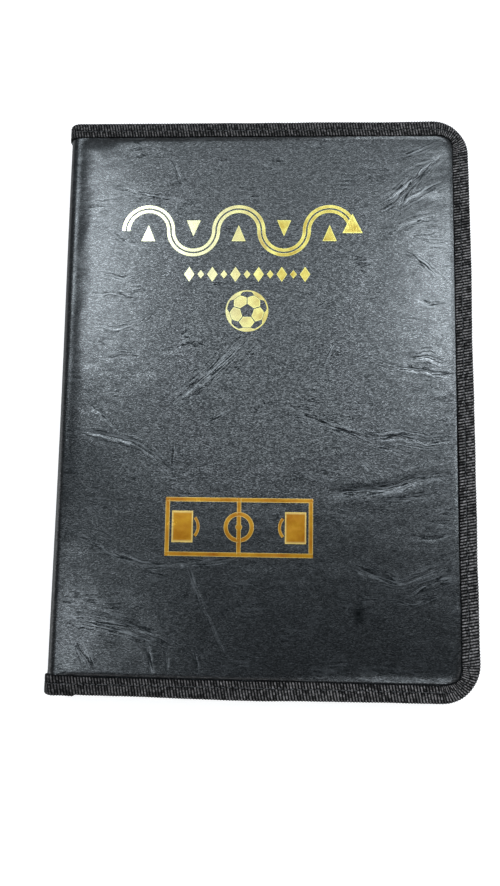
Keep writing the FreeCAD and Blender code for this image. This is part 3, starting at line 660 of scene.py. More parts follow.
def leather_sparkle(tree, place):
    """How far the pebbles differ in shine: less at the head, the foot and the sides of a cover."""
    aside = calc(tree, "ABSOLUTE", place["X"])
    calm_side = ramp(tree, place["Y"], *LOW_SIDE, SIDE_SPARKLE, LOW_SIDE_SPARKLE)
    sparkle = MOST_SPARKLE
    for measure, turn, least in (
        (place["Y"], HEAD_CALM, HEAD_SPARKLE),
        (place["Y"], FOOT_CALM, FOOT_SPARKLE),
        (aside, SIDE_CALM, calm_side),
    ):
        sparkle = calc(tree, "MINIMUM", ramp(tree, measure, *turn, least, MOST_SPARKLE), sparkle)
    return sparkle


def leather_finish(name, cell, depth, rough, stain=None):
    """Black leathercloth: grain and creases break up its gloss coat, which the fold and a stain have lost."""
    material, tree, shader, coords = new_finish(name, BLACK, BLACK_WORN, BLACK_SIZE, rough, True)
    colour = base_of(shader)
    shader.inputs["Specular IOR Level"].default_value = GLOSS
    shader.inputs["Specular Tint"].default_value = GLOSS_TINT
    shader.inputs["Coat Roughness"].default_value = COAT_ROUGH
    shader.inputs["Coat IOR"].default_value = COAT_IOR
    grain = put(tree, "Group", {"Vector": coords, "Cell": cell}, node_tree=crinkle).outputs
    add_bump(tree, shader, grain["Height"], depth)
    place = put(tree, "SeparateXYZ", {0: coords}).outputs
    light, dark = leather_lines(tree, coords, place, grain["Fleck"])
    shine = calc(tree, "SUBTRACT", calc(tree, "POWER", grain["Shine"], SHINE_POWER), SHINE_MEAN)
    coat = calc(tree, "MULTIPLY_ADD", shine, leather_sparkle(tree, place), SHINE_MEAN, clamp=True)
    coat = calc(tree, "MULTIPLY_ADD", light, LINE_GLOSS, coat, clamp=True)
    coat = calc(tree, "MULTIPLY_ADD", dark, -LINE_GLOSS, coat, clamp=True)
    coat = calc(tree, "MULTIPLY", coat, ramp(tree, place["X"], FOLD_WORN, FOLD_FRESH))
    shade = calc(tree, "POWER", grain["Shine"], SHADE_POWER)
    # Dark crease lines take painted shade out of the base colour.
    shade = calc(tree, "MULTIPLY_ADD", dark, -LINE_SHADE, ramp(tree, shade, low=SHADE[0], high=SHADE[1]))
    if stain is not None:
        spot = (stain[0] * STAIN_SQUEEZE / 1000, stain[1] / 1000, 0.0)
        apart = {0: per_axis(tree, coords, (STAIN_SQUEEZE, 1.0, 0.0)), 1: spot}
        apart = put(tree, "VectorMath", apart, operation="DISTANCE").outputs["Value"]
        kept = ramp(tree, apart, *STAIN_EDGE)
        coat = calc(tree, "MULTIPLY", coat, kept)
        shade = calc(tree, "MULTIPLY", shade, kept)
    # Rubbed flecks and the painted highlight on crease lips mix a light grey into the base colour.
    rub_and_highlight = calc(tree, "MULTIPLY", light, RUB_AND_HIGHLIGHT)
    tree.links.new(mixed(tree, rub_and_highlight, scaled(tree, colour, shade), RUBBED_AND_LIT), shader.inputs["Base Color"])
    tree.links.new(coat, shader.inputs["Coat Weight"])
    return material


front_black = leather_finish("front_leather", GRAIN, GRAIN_DEPTH, LEATHER_ROUGH, STAIN)
back_black = leather_finish("back_leather", GRAIN, GRAIN_DEPTH, LEATHER_ROUGH)
BACK_CREASES = [
    ([(-70, 96), (-40, 84), (-6, 80)], 0.2, 1.6, 4.0),
    ([(96, 30), (60, 22), (34, 8), (20, -14)], 0.2, 1.6, 4.0),
    ([(-100, -60), (-66, -70), (-30, -66)], 0.2, 1.6, 4.0),
    ([(84, -110), (50, -120), (30, -138)], 0.2, 1.6, 0.0),
]
front_leather, front_level = cover_leather(
    "front_cover_leather", FRONT_CELL, CREASES, FRONT_SEED, False, front_black
)
back_leather, _ = cover_leather("back_cover_leather", BACK_CELL, BACK_CREASES, BACK_SEED, True, back_black)


def bend_with_cover(piece, cover):
    """Bakes a soft piece's place into its mesh, the same for either cover."""
    if cover == "front_cover":
        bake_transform(piece)
    else:
        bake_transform(piece)


bend_with_cover(front_leather, "front_cover")
bend_with_cover(back_leather, "back_cover")
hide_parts("front_skin", "front_padding", "upper_fold_leather", "spine_skin")
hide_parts("back_skin", "back_padding", "lower_fold_leather")

# Gold foil: a hot die stamps it on the front before sewing, so that it lies in the leather's own surface.
# A run round cones, a row of lozenges and a plain ball fill the upper half, and a small pitch the lower.
FOIL_LIFT, FOIL_SIZE, FOIL_ROUGH, FOIL_GRAIN = 0.09, 11.0, (0.20, 0.28), 0.4
RUN_X, RUN_Y, RUN_RADIUS, RUN_GAP, RUN_LINE = -83.5, 100.6, 13.6, 1.45, 1.9
CONE_HALF, CONE_FOOT, CONE_TIP = 4.2, 6.5, 3.5
ARROW_HALF, ARROW_FOOT, ARROW_TIP = 6.0, 1.5, 10.5
LOZENGE_X, LOZENGE_Y, LOZENGE_STEP, LOZENGES = -44.6, 73.5, 6.9, ((3.1, 4.6), (2.0, 2.6))
# The second pair sets where the upper foil turns whiter towards its left: a painted highlight.
PALE_RIM, PAINTED_HIGHLIGHT_SPAN = (0.68, 0.9), (0.008, -0.055)
FOIL_BALL, BALL_PANEL, BALL_INSIDE, BALL_RIM, BALL_LINE = ((-9.8, 51.1), 12.6), 0.93, 0.95, 0.35, 0.75
FOIL_PITCH = ((-12.5, -76.0), 82.0, 31.0, 2.4)
# Boxes, circle, dot and arcs of the small pitch, as shares of its length, width, line or box depth.
BOX_DEEP, BOX_WIDE, CIRCLE, DOT = 0.15, 0.29, 0.24, 0.8
ARC_PLACE, ARC_RADIUS, ARC_HALF, ARC_LINE = 0.62, 0.25, 42, 0.7


def on_leather(x, y):
    """The front leather's height under a point, read between the points of its sheet."""
    along, rows, level = front_level
    start = np.searchsorted(along, FOLD_X)
    along, level = along[start:], level[:, start:]
    i = np.interp(x, along, np.arange(len(along)))
    j = np.interp(y, rows, np.arange(len(rows)))
    i0, j0 = i.astype(int), j.astype(int)
    a, b = i - i0, j - j0
    low = level[j0, i0] * (1 - a) + level[j0, i0 + 1] * a
    high = level[j0 + 1, i0] * (1 - a) + level[j0 + 1, i0 + 1] * a
    return low * (1 - b) + high * b


def ribbon(line, width):
    """A flat band along a line: its points, three across, its squares, and 1 for each point at an edge."""
    line = np.asarray(line, float)
    side = sideways(line) * width / 2
    points = np.stack([line + side, line, line - side], axis=1)
    return points.reshape(-1, 2), grid_faces(len(line), 3), np.tile((1.0, 0.0, 1.0), len(line))


def straight(start, end, step=0.9):
    """Points on a straight line, close enough to follow the leather."""
    count = max(2, int(math.dist(start, end) / step) + 1)
    return np.linspace(start, end, count)


def arc(centre, radius, first, last, step=0.9):
    """Points on an arc between two angles in degrees."""
    count = max(4, int(abs(math.radians(last - first)) * radius / step) + 1)
    angle = np.radians(np.linspace(first, last, count))
    return np.stack([centre[0] + radius * np.cos(angle), centre[1] + radius * np.sin(angle)], axis=1)


def filled(outline, rings=4):
    """A filled shape, as rings from its middle to its outline, which is given by its corners."""
    corners = np.asarray(outline, float)
    edge = np.concatenate([straight(a, b, 0.8)[:-1] for a, b in zip(corners, np.roll(corners, -1, axis=0))])
    middle = corners.mean(axis=0)
    shares = np.linspace(0, 1, rings + 1)[1:]
    points = np.concatenate([[middle]] + [middle + (edge - middle) * share for share in shares])
    count = len(edge)
    after = np.roll(np.arange(count), -1)
    faces = [[0, 1 + k, 1 + after[k]] for k in range(count)]
    for ring in range(rings - 1):
        base, over = 1 + ring * count, 1 + (ring + 1) * count
        faces += [[base + k, over + k, over + after[k], base + after[k]] for k in range(count)]
    return points, faces, np.concatenate([[0.0], np.repeat(shares**2, count)])


def joined(shapes):
    """Several shapes as one list of points and one of faces."""
    faces, count = [], 0
    for shape in shapes:
        faces += [[int(k) + count for k in face] for face in shape[1]]
        count += len(shape[0])
    return np.concatenate([shape[0] for shape in shapes]), faces


def facing(points, faces):
    """Turns every face of a flat shape upward."""
    turned = []
    for face in faces:
        a, b, c = (points[k] for k in face[:3])
        left = (b[0] - a[0]) * (c[1] - a[1]) - (b[1] - a[1]) * (c[0] - a[0])
        turned.append(face if left > 0 else face[::-1])
    return turned


def slalom_run():
    """A double line that weaves past five cones and ends in an arrow head."""
    shapes = []
    for k in range(5):
        x, over = RUN_X + RUN_RADIUS * (2 * k + 1), 1 if k % 2 == 0 else -1
        for offset in (-RUN_GAP, RUN_GAP):
            bend = arc((x, RUN_Y), RUN_RADIUS + offset * over, 180, 180 - over * 180)
            shapes.append(ribbon(bend, RUN_LINE))
        foot, tip = RUN_Y - over * CONE_FOOT, RUN_Y + over * CONE_TIP
        shapes.append(filled([(x - CONE_HALF, foot), (x + CONE_HALF, foot), (x, tip)]))
    end, foot = RUN_X + RUN_RADIUS * 10, RUN_Y - ARROW_FOOT
    shapes.append(filled([(end - ARROW_HALF, foot), (end + ARROW_HALF, foot), (end, RUN_Y + ARROW_TIP)]))
    return shapes


def lozenge_row():
    """Large and small lozenges in turn on one line."""
    shapes = []
    for k in range(11):
        x, (half, tall) = LOZENGE_X + LOZENGE_STEP * k, LOZENGES[k % 2]
        tips = ((-half, 0), (0, -tall), (half, 0), (0, tall))
        shapes.append(filled([(x + a, LOZENGE_Y + b) for a, b in tips]))
    return shapes


def plain_ball(centre, radius):
    """The six-sided panels of a common ball, with a five-sided one left bare in the middle."""
    golden = (1 + math.sqrt(5)) / 2
    signs = [(a, b * golden) for a in (-1, 1) for b in (-1, 1)]
    tips = [(0, a, b) for a, b in signs] + [(a, b, 0) for a, b in signs] + [(b, 0, a) for a, b in signs]
    tips = np.array(tips, float) / math.hypot(1, golden)
    edge = np.sort(np.linalg.norm(tips[0] - tips, axis=1))[1] * 1.01
    view = Vector(tips[0]).rotation_difference(Vector((0, 0, 1))).to_matrix()
    tips = tips @ np.array(view).T
    close = tips[np.linalg.norm(tips - tips[tips[:, 2].argmax()], axis=1) < edge]
    spin = math.pi / 2 - math.atan2(*close[close[:, 2] < 0.9][0][[1, 0]])
    turn = np.array([[math.cos(spin), -math.sin(spin), 0], [math.sin(spin), math.cos(spin), 0], [0, 0, 1]])
    shapes = []
    for trio in itertools.combinations(tips @ turn.T, 3):
        trio = np.array(trio)
        after, middle = np.roll(trio, -1, axis=0), trio.mean(axis=0)
        if np.linalg.norm(trio - after, axis=1).max() > edge or middle[2] < 0.05:
            continue
        ring = np.stack([trio + (after - trio) * share for share in (1 / 3, 2 / 3)], axis=1)
        ring = middle + (ring.reshape(-1, 3) - middle) * BALL_PANEL
        sides = zip(ring, np.roll(ring, -1, axis=0))
        full = np.concatenate([np.linspace(start, end, 7)[:-1] for start, end in sides])
        full /= np.linalg.norm(full, axis=1)[:, None]
        flat = full[:, :2].copy()
        hidden = full[:, 2] < 0
        flat[hidden] /= np.linalg.norm(flat[hidden], axis=1)[:, None]
        shapes.append(filled(np.array(centre) + flat * BALL_INSIDE * radius, 5))
    shapes.append(ribbon(arc(centre, radius - BALL_RIM, 0, 360), BALL_LINE))
    return shapes


def ruled(runs, line, step=0.9):
    """Bands along straight lines, each half a width longer at both ends, so that corners are full."""
    shapes = []
    for start, end in runs:
        way = np.array(end) - start
        way = way / np.hypot(*way) * line / 2
        shapes.append(ribbon(straight(start - way, end + way, step), line))
    return shapes


def small_pitch(centre, length, width, line):
    """A pitch seen from above, drawn with one line width, with solid goal areas."""
    x, y = centre
    half, side, box_deep, box_half = length / 2, width / 2, length * BOX_DEEP, width * BOX_WIDE
    corners = [(x - half, y - side), (x + half, y - side), (x + half, y + side), (x - half, y + side)]
    runs = list(zip(corners, corners[1:] + corners[:1])) + [((x, y - side), (x, y + side))]
    shapes = ruled(runs, line)
    shapes.append(ribbon(arc(centre, width * CIRCLE, 0, 360), line))
    shapes.append(filled(arc(centre, line * DOT, 0, 330, 0.4), 2))
    for end in (-1, 1):
        outer, inner = x + end * (half - line * 1.1), x + end * (half - line - box_deep)
        box = ((outer, -1), (inner, -1), (inner, 1), (outer, 1))
        shapes.append(filled([(a, y + b * box_half) for a, b in box], 8))
        spot = (x + end * (half - line - box_deep * ARC_PLACE), y)
        turn = 180 if end > 0 else 0
        bend = arc(spot, width * ARC_RADIUS, turn - ARC_HALF, turn + ARC_HALF)
        shapes.append(ribbon(bend, line * ARC_LINE))
    return shapes


def foil_finish(name, dark, light, pale, metal, painted_highlight=None):
    """Stamped foil: metal in drifts of two golds, pale at its edges, that takes the grain under it; it may be
    painted whiter towards its left as a painted highlight.
    """
    material, tree, shader, coords = new_finish(name, dark, light, FOIL_SIZE, FOIL_ROUGH, True)
    colour = base_of(shader)
    rim = put(tree, "Attribute", attribute_name="rim", attribute_type="GEOMETRY").outputs["Fac"]
    colour = mixed(tree, ramp(tree, rim, *PALE_RIM), colour, pale)
    # The left part is painted whiter, a painted highlight.
    if painted_highlight is not None:
        place = put(tree, "SeparateXYZ", {0: coords}).outputs["X"]
        colour = mixed(tree, ramp(tree, place, *PAINTED_HIGHLIGHT_SPAN), colour, painted_highlight)
    tree.links.new(colour, shader.inputs["Base Color"])
    grain = put(tree, "Group", {"Vector": coords, "Cell": GRAIN}, node_tree=crinkle).outputs
    add_bump(tree, shader, grain["Height"], GRAIN_DEPTH * FOIL_GRAIN)
    shader.inputs["Metallic"].default_value = metal
    return material


def stamp(name, shapes, material):
    """Lays flat shapes on the front leather as one piece of foil."""
    points, faces = joined(shapes)
    rim = np.concatenate([shape[2] for shape in shapes]).astype(np.float32)
    lifted = np.column_stack([points, on_leather(points[:, 0], points[:, 1]) + FOIL_LIFT])
    piece = make_piece(name, lifted, facing(points, faces), material, points)
    piece.data.attributes.new("rim", "FLOAT", "POINT").data.foreach_set("value", rim)
    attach(piece, "front_cover")


# A whitish gold that the upper foil is painted with on its left, as a painted highlight.
PAINTED_HIGHLIGHT_GOLD = (0.70, 0.67, 0.44)
BRIGHT_GOLDS = (0.36, 0.21, 0.02), (0.72, 0.64, 0.18), (0.74, 0.66, 0.20)
DEEP_GOLDS = (0.46, 0.15, 0.003), (0.66, 0.32, 0.012), (0.95, 0.66, 0.20)
bright_gold = foil_finish("bright_foil", *BRIGHT_GOLDS, 0.92, PAINTED_HIGHLIGHT_GOLD)
deep_gold = foil_finish("deep_foil", *DEEP_GOLDS, 0.45)
stamp("foil_slalom", slalom_run(), bright_gold)
stamp("foil_lozenges", lozenge_row(), bright_gold)
stamp("foil_ball", plain_ball(*FOIL_BALL), bright_gold)
stamp("foil_pitch", small_pitch(*FOIL_PITCH), deep_gold)

# Binding tape: a 25 mm ribbed nylon tape is folded over the raw edges and sewn through every layer.
# It is gathered round the corners, and its ends overlap in a thick fold at the foot of the spine.
TAPE, INNER_CORNER, LAYERS = 0.9, 9.0, 3.5
RIB, RIB_HEIGHT, RIB_STEPS, RIB_SLANT, BEAD = 1.68, 0.3, 6, -0.2, 1.7
SEAM_SHARE, SEAM_SINK, SEAM_WIDE = 0.62, 0.10, 0.8
SEAM_LINE, SEAM_STRAY, SEAM_EDGE = 4.6, 0.6, (0.0002, 0.0007)
WAVE_STEP, SAG_STEP, SAG_SEED, EDGE_WAVE, EDGE_SAG, SWELL = 13.0, 34.0, 4.0, 0.35, 0.3, 0.16
GATHER, GATHER_PITCH, THREAD_SINK = 0.35, 4.6, 0.06
FOOT_BOW, FOOT_BOW_X, FOOT_BOW_REACH, FOOT_BELOW = 0.9, -8.0, 45.0, -150.0
SIDE_BOW, SIDE_BOW_Y, SIDE_BOW_REACH, SIDE_BEYOND = 0.5, 85.0, 50.0, 110.0
HEAD_PULL, HEAD_TURN = 0.35, 20.0
END_FOLD, END_STEP, END_LEAN, END_RISE, END_RUFFLE, END_SEAM = 27.0, 0.7, 0.4, 0.8, 0.3, 0.9
# The pitch of a row of stitches, and the length and radius of each.
TAPE_STITCH = (3.5, 2.5, 0.24)
STITCH_SHARES = np.array([0, 0.12, 0.35, 0.65, 0.88, 1.0])
STITCH_THICK = np.array([0.35, 0.8, 1, 1, 0.8, 0.35])
STITCH_DIP = np.array([-1.1, -0.25, 0.25, 0.25, -0.25, -1.1])
CREST_POWER, NOTCH, BEAD_TONES, SEAM_DARK = 1.6, (0.28, 0.5, 1.0, 0.5), (0.3, 1.7), 0.35
# The thread tones and the rib tones are painted highlight on raised threads and rib crests and painted shade
# in the gaps between them.
CLOTH_ROUGH, CLOTH_SIZE, CLOTH_GLOSS, THREAD_LIGHT_AND_SHADE = (0.72, 0.88), 6.0, 0.12, (0.55, 1.35)
RIB_LIGHT_AND_SHADE, FUZZ_SCALE, FUZZ_TONES = (0.1, 1.0, 0.05, 7.0), 900.0, (0.32, 0.68, 0.25, 1.6)
# Where the ribs fade along or across the tape: axis, first and last millimetre, and the tone at each.
# The fade across at the tape's inner edge is a painted shadow line against the leather; the fades along the
# foot and the head are painted shade; the end fold is a little darker.
RIB_SHADE_FADES = (
    ("X", END_FOLD, END_FOLD + 3, 0.8, 1.0),
    ("Y", 0.7, 1.1, 0.03, 1.0),
    ("X", 40.0, 290.0, 0.55, 1.0),
    ("X", 570.0, 630.0, 1.0, 0.6),
)


def mouth_run(start_x, inset, step):
    """Points and inward directions round the three free edges, from the foot of the spine to its head."""
    radius = OUTLINE_CORNER - inset
    right, top = RIGHT - inset, TOP - inset
    turn_x, turn_y = right - radius, top - radius
    runs = [
        straight((start_x, -top), (turn_x, -top), step)[:-1],
        arc((turn_x, -turn_y), radius, -90, 0, step)[:-1],
        straight((right, -turn_y), (right, turn_y), step)[:-1],
        arc((turn_x, turn_y), radius, 0, 90, step)[:-1],
        straight((turn_x, top), (start_x, top), step),
    ]
    ways = ((0, 1), (0, 0), (-1, 0), (0, 0), (0, -1))
    inward = [np.tile(way, (len(run), 1)).astype(float) for way, run in zip(ways, runs)]
    inward[1] = (np.array((turn_x, -turn_y)) - runs[1]) / radius
    inward[3] = (np.array((turn_x, turn_y)) - runs[3]) / radius
    return runs, inward


def inner_corner(count, leg):
    """The tape's inner edge round the lower corner, in as many steps as its outer edge has."""
    near, far = RIGHT - leg, TOP - leg
    centre = (near - INNER_CORNER, INNER_CORNER - far)
    runs = [
        straight((RIGHT - OUTLINE_CORNER, -far), (centre[0], -far), 0.2)[:-1],
        arc(centre, INNER_CORNER, -90, 0, 0.2),
        straight((near, centre[1]), (near, OUTLINE_CORNER - TOP), 0.2)[1:],
    ]
    edge = np.concatenate(runs)
    return read_at(np.linspace(0, len(edge) - 1, count + 1)[:-1], np.arange(len(edge)), edge)


def lengths_along(points):
    """The length from the first point to each point of a line."""
    return np.concatenate([[0], np.cumsum(np.linalg.norm(np.diff(points, axis=0), axis=1))])


def at_level(flat, level):
    """Flat points at one height."""
    return np.column_stack([flat, np.full(len(flat), level)])


def binding_run(step):
    """The bound edge from mid spine to mid spine: its points, the ways inward and outward, and leg widths."""
    runs, inward = mouth_run(FOLD_X, 0.0, step)
    lower = inner_corner(len(runs[1]), LEG_FOOT)
    upper = inner_corner(len(runs[3]) + 1, LEG_HEAD)[:0:-1] * (1, -1)
    upper = np.concatenate([[(RIGHT - LEG_HEAD, TOP - OUTLINE_CORNER)], upper])[: len(runs[3])]
    inward[1], inward[3] = lower - runs[1], upper - runs[3]
    flat, way = np.concatenate(runs), np.concatenate(inward)
    width = np.hypot(*way.T)
    straight_run = np.isclose(width, 1.0)
    way = way / width[:, None]
    width[straight_run] = leg_width(flat[straight_run, 1])
    rise = even_steps(MID, FOLD_Z, step)[:-1]
    turn = np.linspace(math.pi / 2, 0, int(FOLD_RADIUS * math.pi / 2 / step) + 1)[:-1]
    up, none = np.zeros(len(rise)), np.zeros(len(rise) + len(turn))
    x = np.concatenate([up + SPINE_X, FOLD_X - FOLD_RADIUS * np.sin(turn)])
    z = np.concatenate([rise, FOLD_Z + FOLD_RADIUS * np.cos(turn)])
    foot = np.column_stack([x, none - TOP, z])
    foot_way = np.column_stack([none, none + 1, none])
    foot_out = np.concatenate([up - 1, -np.sin(turn)]), none, np.concatenate([up, np.cos(turn)])
    foot_out = np.column_stack(foot_out)
    face_out = np.tile((0.0, 0.0, 1.0), (len(flat), 1))
    edge = np.concatenate([foot, at_level(flat, RIM), (foot * (1, -1, 1))[::-1]])
    way = np.concatenate([foot_way, at_level(way, 0.0), -foot_way])
    out = np.concatenate([foot_out, face_out, foot_out[::-1]])
    return edge, way, out, np.concatenate([none + LEG_FOOT, width, none + LEG_HEAD])


def tape_section(width):
    """A folded tape's section: inward and outward measures, and which way each point faces."""
    leg = np.linspace(0.93, 0.1, 10)
    inside = np.linspace(0.1, 0.93, 5)
    inward = [1.0, 0.997, 0.975, *leg, 0.045, 0.012, 0, 0, 0, 0, 0.012, 0.045, *inside, 0.99, 1.0]
    outward = [0, 0.5, 0.84] + [TAPE] * 10 + [0.8, 0.45, -0.1, -1.2, -2.4, -3.4, -3.95, -4.3]
    outward += [-LAYERS - TAPE] * 5 + [-4.2, -LAYERS]
    face_in = [0.6, 0.5, 0.3] + [0] * 10 + [-0.6, -0.9, -1, -1, -1, -1, -0.9, -0.6] + [0] * 5 + [0.5, 0.6]
    face_out = [0.3, 0.7, 0.95] + [1] * 10 + [0.8, 0.4, 0, 0, 0, 0, -0.4, -0.8] + [-1] * 5 + [-0.8, -0.3]
    inward = np.array(inward)[None] * width[:, None]
    return inward, np.array(outward)[None] + 0 * inward, np.array(face_in), np.array(face_out)


def carry(edge, way, out, inward, outward):
    """Carries a section along an edge."""
    return edge[:, None] + inward[..., None] * way[:, None] + outward[..., None] * out[:, None]


def binding_tape(name, seed, flipped, material):
    """One cover's tape with its ribs, and the two lines that its stitches follow, with the way out."""
    edge, way, out, width = binding_run(RIB / RIB_STEPS)
    along = lengths_along(edge)
    wave, sag = waver(along, WAVE_STEP, seed), waver(along, SAG_STEP, seed + SAG_SEED)
    into_corner = np.minimum(edge[:, 0] - RIGHT, np.abs(edge[:, 1]) - TOP) + OUTLINE_CORNER
    on_turn = np.clip(into_corner / (OUTLINE_CORNER * math.sqrt(0.5)), 0, 1)
    end = 1 - np.clip((along - END_FOLD + END_STEP) / END_STEP, 0, 1)
    end = end * ((1 + END_LEAN) * out[:, 2] - END_LEAN)
    pull = HEAD_PULL * np.clip(edge[:, 1] / HEAD_TURN, 0, 1)
    on_foot, on_side = edge[:, 1] < FOOT_BELOW, edge[:, 0] > SIDE_BEYOND
    bow = on_foot * FOOT_BOW * np.exp(-(((edge[:, 0] - FOOT_BOW_X) / FOOT_BOW_REACH) ** 2))
    bow += on_side * SIDE_BOW * np.exp(-(((edge[:, 1] - SIDE_BOW_Y) / SIDE_BOW_REACH) ** 2))
    inward, outward, face_in, face_out = tape_section(width + EDGE_WAVE * wave)
    run, wide, swell = along[:, None], width[:, None], wave[:, None]
    across = inward / wide
    raised = RIB_HEIGHT * np.cos(2 * np.pi * (run + RIB_SLANT * (wide - inward)) / RIB) * 0.5
    raised += GATHER * on_turn[:, None] * np.sin(run * 2 * np.pi / GATHER_PITCH + across * 2) * across
    raised -= SEAM_SINK * np.exp(-((inward - wide * SEAM_SHARE) / SEAM_WIDE) ** 2) * np.abs(face_out)
    raised += SWELL * swell + end[:, None] * (END_RISE + END_RUFFLE * swell)
    inward = inward + raised * face_in + (EDGE_SAG * sag + pull)[:, None] - bow[:, None] * (1 - across)
    outward = outward + raised * face_out
    points = carry(edge, way, out, inward, outward)
    profile = np.pad(np.cumsum(np.hypot(np.diff(inward), np.diff(outward)), axis=1), ((0, 0), (1, 0)))
    flat = np.stack([np.broadcast_to(run, profile.shape), profile], axis=2)
    faces = grid_faces(*profile.shape)
    if flipped:
        points, faces = turned_over(points, faces)
    middle, thread = edge + way * (width * SEAM_SHARE)[:, None], TAPE - THREAD_SINK + SWELL * wave
    seam = middle + out * (thread + end * END_SEAM)[:, None]
    inner_seam = middle - out * (LAYERS + thread)[:, None]
    return make_piece(name, points, faces, material, flat), along, ((seam, out), (inner_seam, -out))


def ring_faces(rings, count):
    """Squares between closed rings of points, which are stored one ring after another."""
    faces = []
    for k in range(rings - 1):
        for m in range(count):
            a, b = k * count + m, k * count + (m + 1) % count
            faces.append([a, b, b + count, a + count])
    return faces


def stitch_row(along, line, out, pitch, length, radius):
    """Thread stitches that dip into the cloth at both ends, one for each pitch."""
    ring = np.radians(np.arange(0, 360, 60))
    last = (len(STITCH_SHARES) - 1) * len(ring)
    faces = ring_faces(len(STITCH_SHARES), len(ring))
    faces += [list(reversed(range(len(ring)))), [last + m for m in range(len(ring))]]
    stitches = []
    for start in np.arange(pitch * 0.3, along[-1] - length, pitch):
        spots = start + STITCH_SHARES * length
        middle, up = read_at(spots, along, line), read_at(spots, along, out)
        side = np.cross(np.gradient(middle, axis=0), up)
        side /= np.linalg.norm(side, axis=1)[:, None]
        middle = middle + up * (STITCH_DIP * radius)[:, None]
        spokes = side[:, None] * np.cos(ring)[None, :, None] + up[:, None] * np.sin(ring)[None, :, None]
        points = middle[:, None] + spokes * (STITCH_THICK * radius)[:, None, None]
        stitches.append((points.reshape(-1, 3), faces))
    return joined(stitches)


def make_weave():
    """Plain weave, threads over and under each other; and ribs across it, broken into beads at the seam."""
    takes = {"Vector": "Vector", "Along": "Float", "Across": "Float", "Rib": "Float"}
    group, takes, gives = effect("weave", takes, ["Height", "Rib"])
    parts = put(group, "SeparateXYZ", {0: takes["Vector"]}).outputs
    waves = []
    for axis, pitch in (("X", "Along"), ("Y", "Across")):
        turns = calc(group, "DIVIDE", 1000 * math.tau, takes[pitch])
        waves.append(calc(group, "SINE", calc(group, "MULTIPLY", parts[axis], turns)))
    height = calc(group, "MULTIPLY_ADD", calc(group, "MULTIPLY", *waves), 0.5, 0.5)
    group.links.new(height, gives["Height"])
    slant = calc(group, "MULTIPLY_ADD", parts["Y"], RIB_SLANT, parts["X"])
    rows = calc(group, "MULTIPLY", slant, calc(group, "DIVIDE", 1000.0, takes["Rib"]))
    row = calc(group, "ROUND", rows)
    crest = calc(group, "COSINE", calc(group, "MULTIPLY", rows, math.tau))
    crest = calc(group, "POWER", calc(group, "MULTIPLY_ADD", crest, 0.5, 0.5), CREST_POWER)
    stray = put(group, "TexWhiteNoise", {"W": row}, noise_dimensions="1D").outputs[0]
    line, reach = SEAM_LINE / 1000, SEAM_STRAY / 1000
    apart = calc(group, "SUBTRACT", parts["Y"], ramp(group, stray, low=line - reach, high=line + reach))
    beads = calc(group, "MULTIPLY", apart, 1000 / BEAD)
    notch = calc(group, "SUBTRACT", calc(group, "FRACT", beads), 0.5)
    notch = ramp(group, calc(group, "ABSOLUTE", notch), *NOTCH)
    seam = ramp(group, calc(group, "ABSOLUTE", apart), *SEAM_EDGE, SEAM_DARK)
    dash = put(group, "CombineXYZ", {0: row, 1: calc(group, "FLOOR", beads)}).outputs[0]
    own = put(group, "TexWhiteNoise", {"Vector": dash}, noise_dimensions="2D").outputs[0]
    for tone in (notch, seam, ramp(group, own, low=BEAD_TONES[0], high=BEAD_TONES[1])):
        crest = calc(group, "MULTIPLY", crest, tone)
    group.links.new(crest, gives["Rib"])
    return group


weave = make_weave()


def cloth_finish(name, dark, light, along, across, depth, rib=0.0):
    """Woven cloth whose raised threads, and ribs if it has them, are painted lighter than the gaps, as
    painted highlight and painted shade.
    """
    material, tree, shader, coords = new_finish(name, dark, light, CLOTH_SIZE, CLOTH_ROUGH, True)
    colour = base_of(shader)
    threads = {"Vector": coords, "Along": along, "Across": across, "Rib": rib}
    threads = put(tree, "Group", threads, node_tree=weave).outputs
    # Painted highlight on the raised threads and painted shade in the gaps.
    shade = ramp(tree, threads["Height"], low=THREAD_LIGHT_AND_SHADE[0], high=THREAD_LIGHT_AND_SHADE[1])
    shaded = scaled(tree, colour, shade)
    if rib > 0:
        fuzz = ramp(tree, cloud(tree, coords, FUZZ_SCALE, 2.0, 0.7), *FUZZ_TONES)
        # Painted highlight on the rib crests and painted shade between them, broken by fuzz.
        crest = calc(tree, "MULTIPLY", ramp(tree, threads["Rib"], *RIB_LIGHT_AND_SHADE), fuzz)
        place = put(tree, "SeparateXYZ", {0: coords}).outputs
        for axis, start, end, first, last in RIB_SHADE_FADES:
            kept = ramp(tree, place[axis], start / 1000, end / 1000, first, last)
            crest = calc(tree, "MULTIPLY", crest, kept)
        shaded = scaled(tree, shaded, crest)
    tree.links.new(shaded, shader.inputs["Base Color"])
    add_bump(tree, shader, threads["Height"], depth)
    shader.inputs["Specular IOR Level"].default_value = CLOTH_GLOSS
    return material


TAPE_BLACKS = (0.026, 0.0238, 0.0235), (0.046, 0.042, 0.0415)
black_tape = cloth_finish("black_binding_tape", *TAPE_BLACKS, 0.6, 1.2, 0.10, RIB)
black_thread = new_finish("black_thread", (0.03, 0.03, 0.032), (0.08, 0.08, 0.083), 1.0, (0.5, 0.65))[0]
for cover, flipped, seed in (("front", False, 1.0), ("back", True, 2.0)):
    tape, along, seams = binding_tape(cover + "_edge_tape", seed, flipped, black_tape)
    points, faces = joined([stitch_row(along, seam, out, *TAPE_STITCH) for seam, out in seams])
    if flipped:
        points, faces = turned_over(points, faces)
    stitches = make_piece(cover + "_edge_stitches", points, faces, black_thread)
    bend_with_cover(tape, cover + "_cover")
    bend_with_cover(stitches, cover + "_cover")
    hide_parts(cover + "_binding", "upper_fold_binding" if cover == "front" else "lower_fold_binding")
    if cover == "front":
        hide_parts("spine_binding")

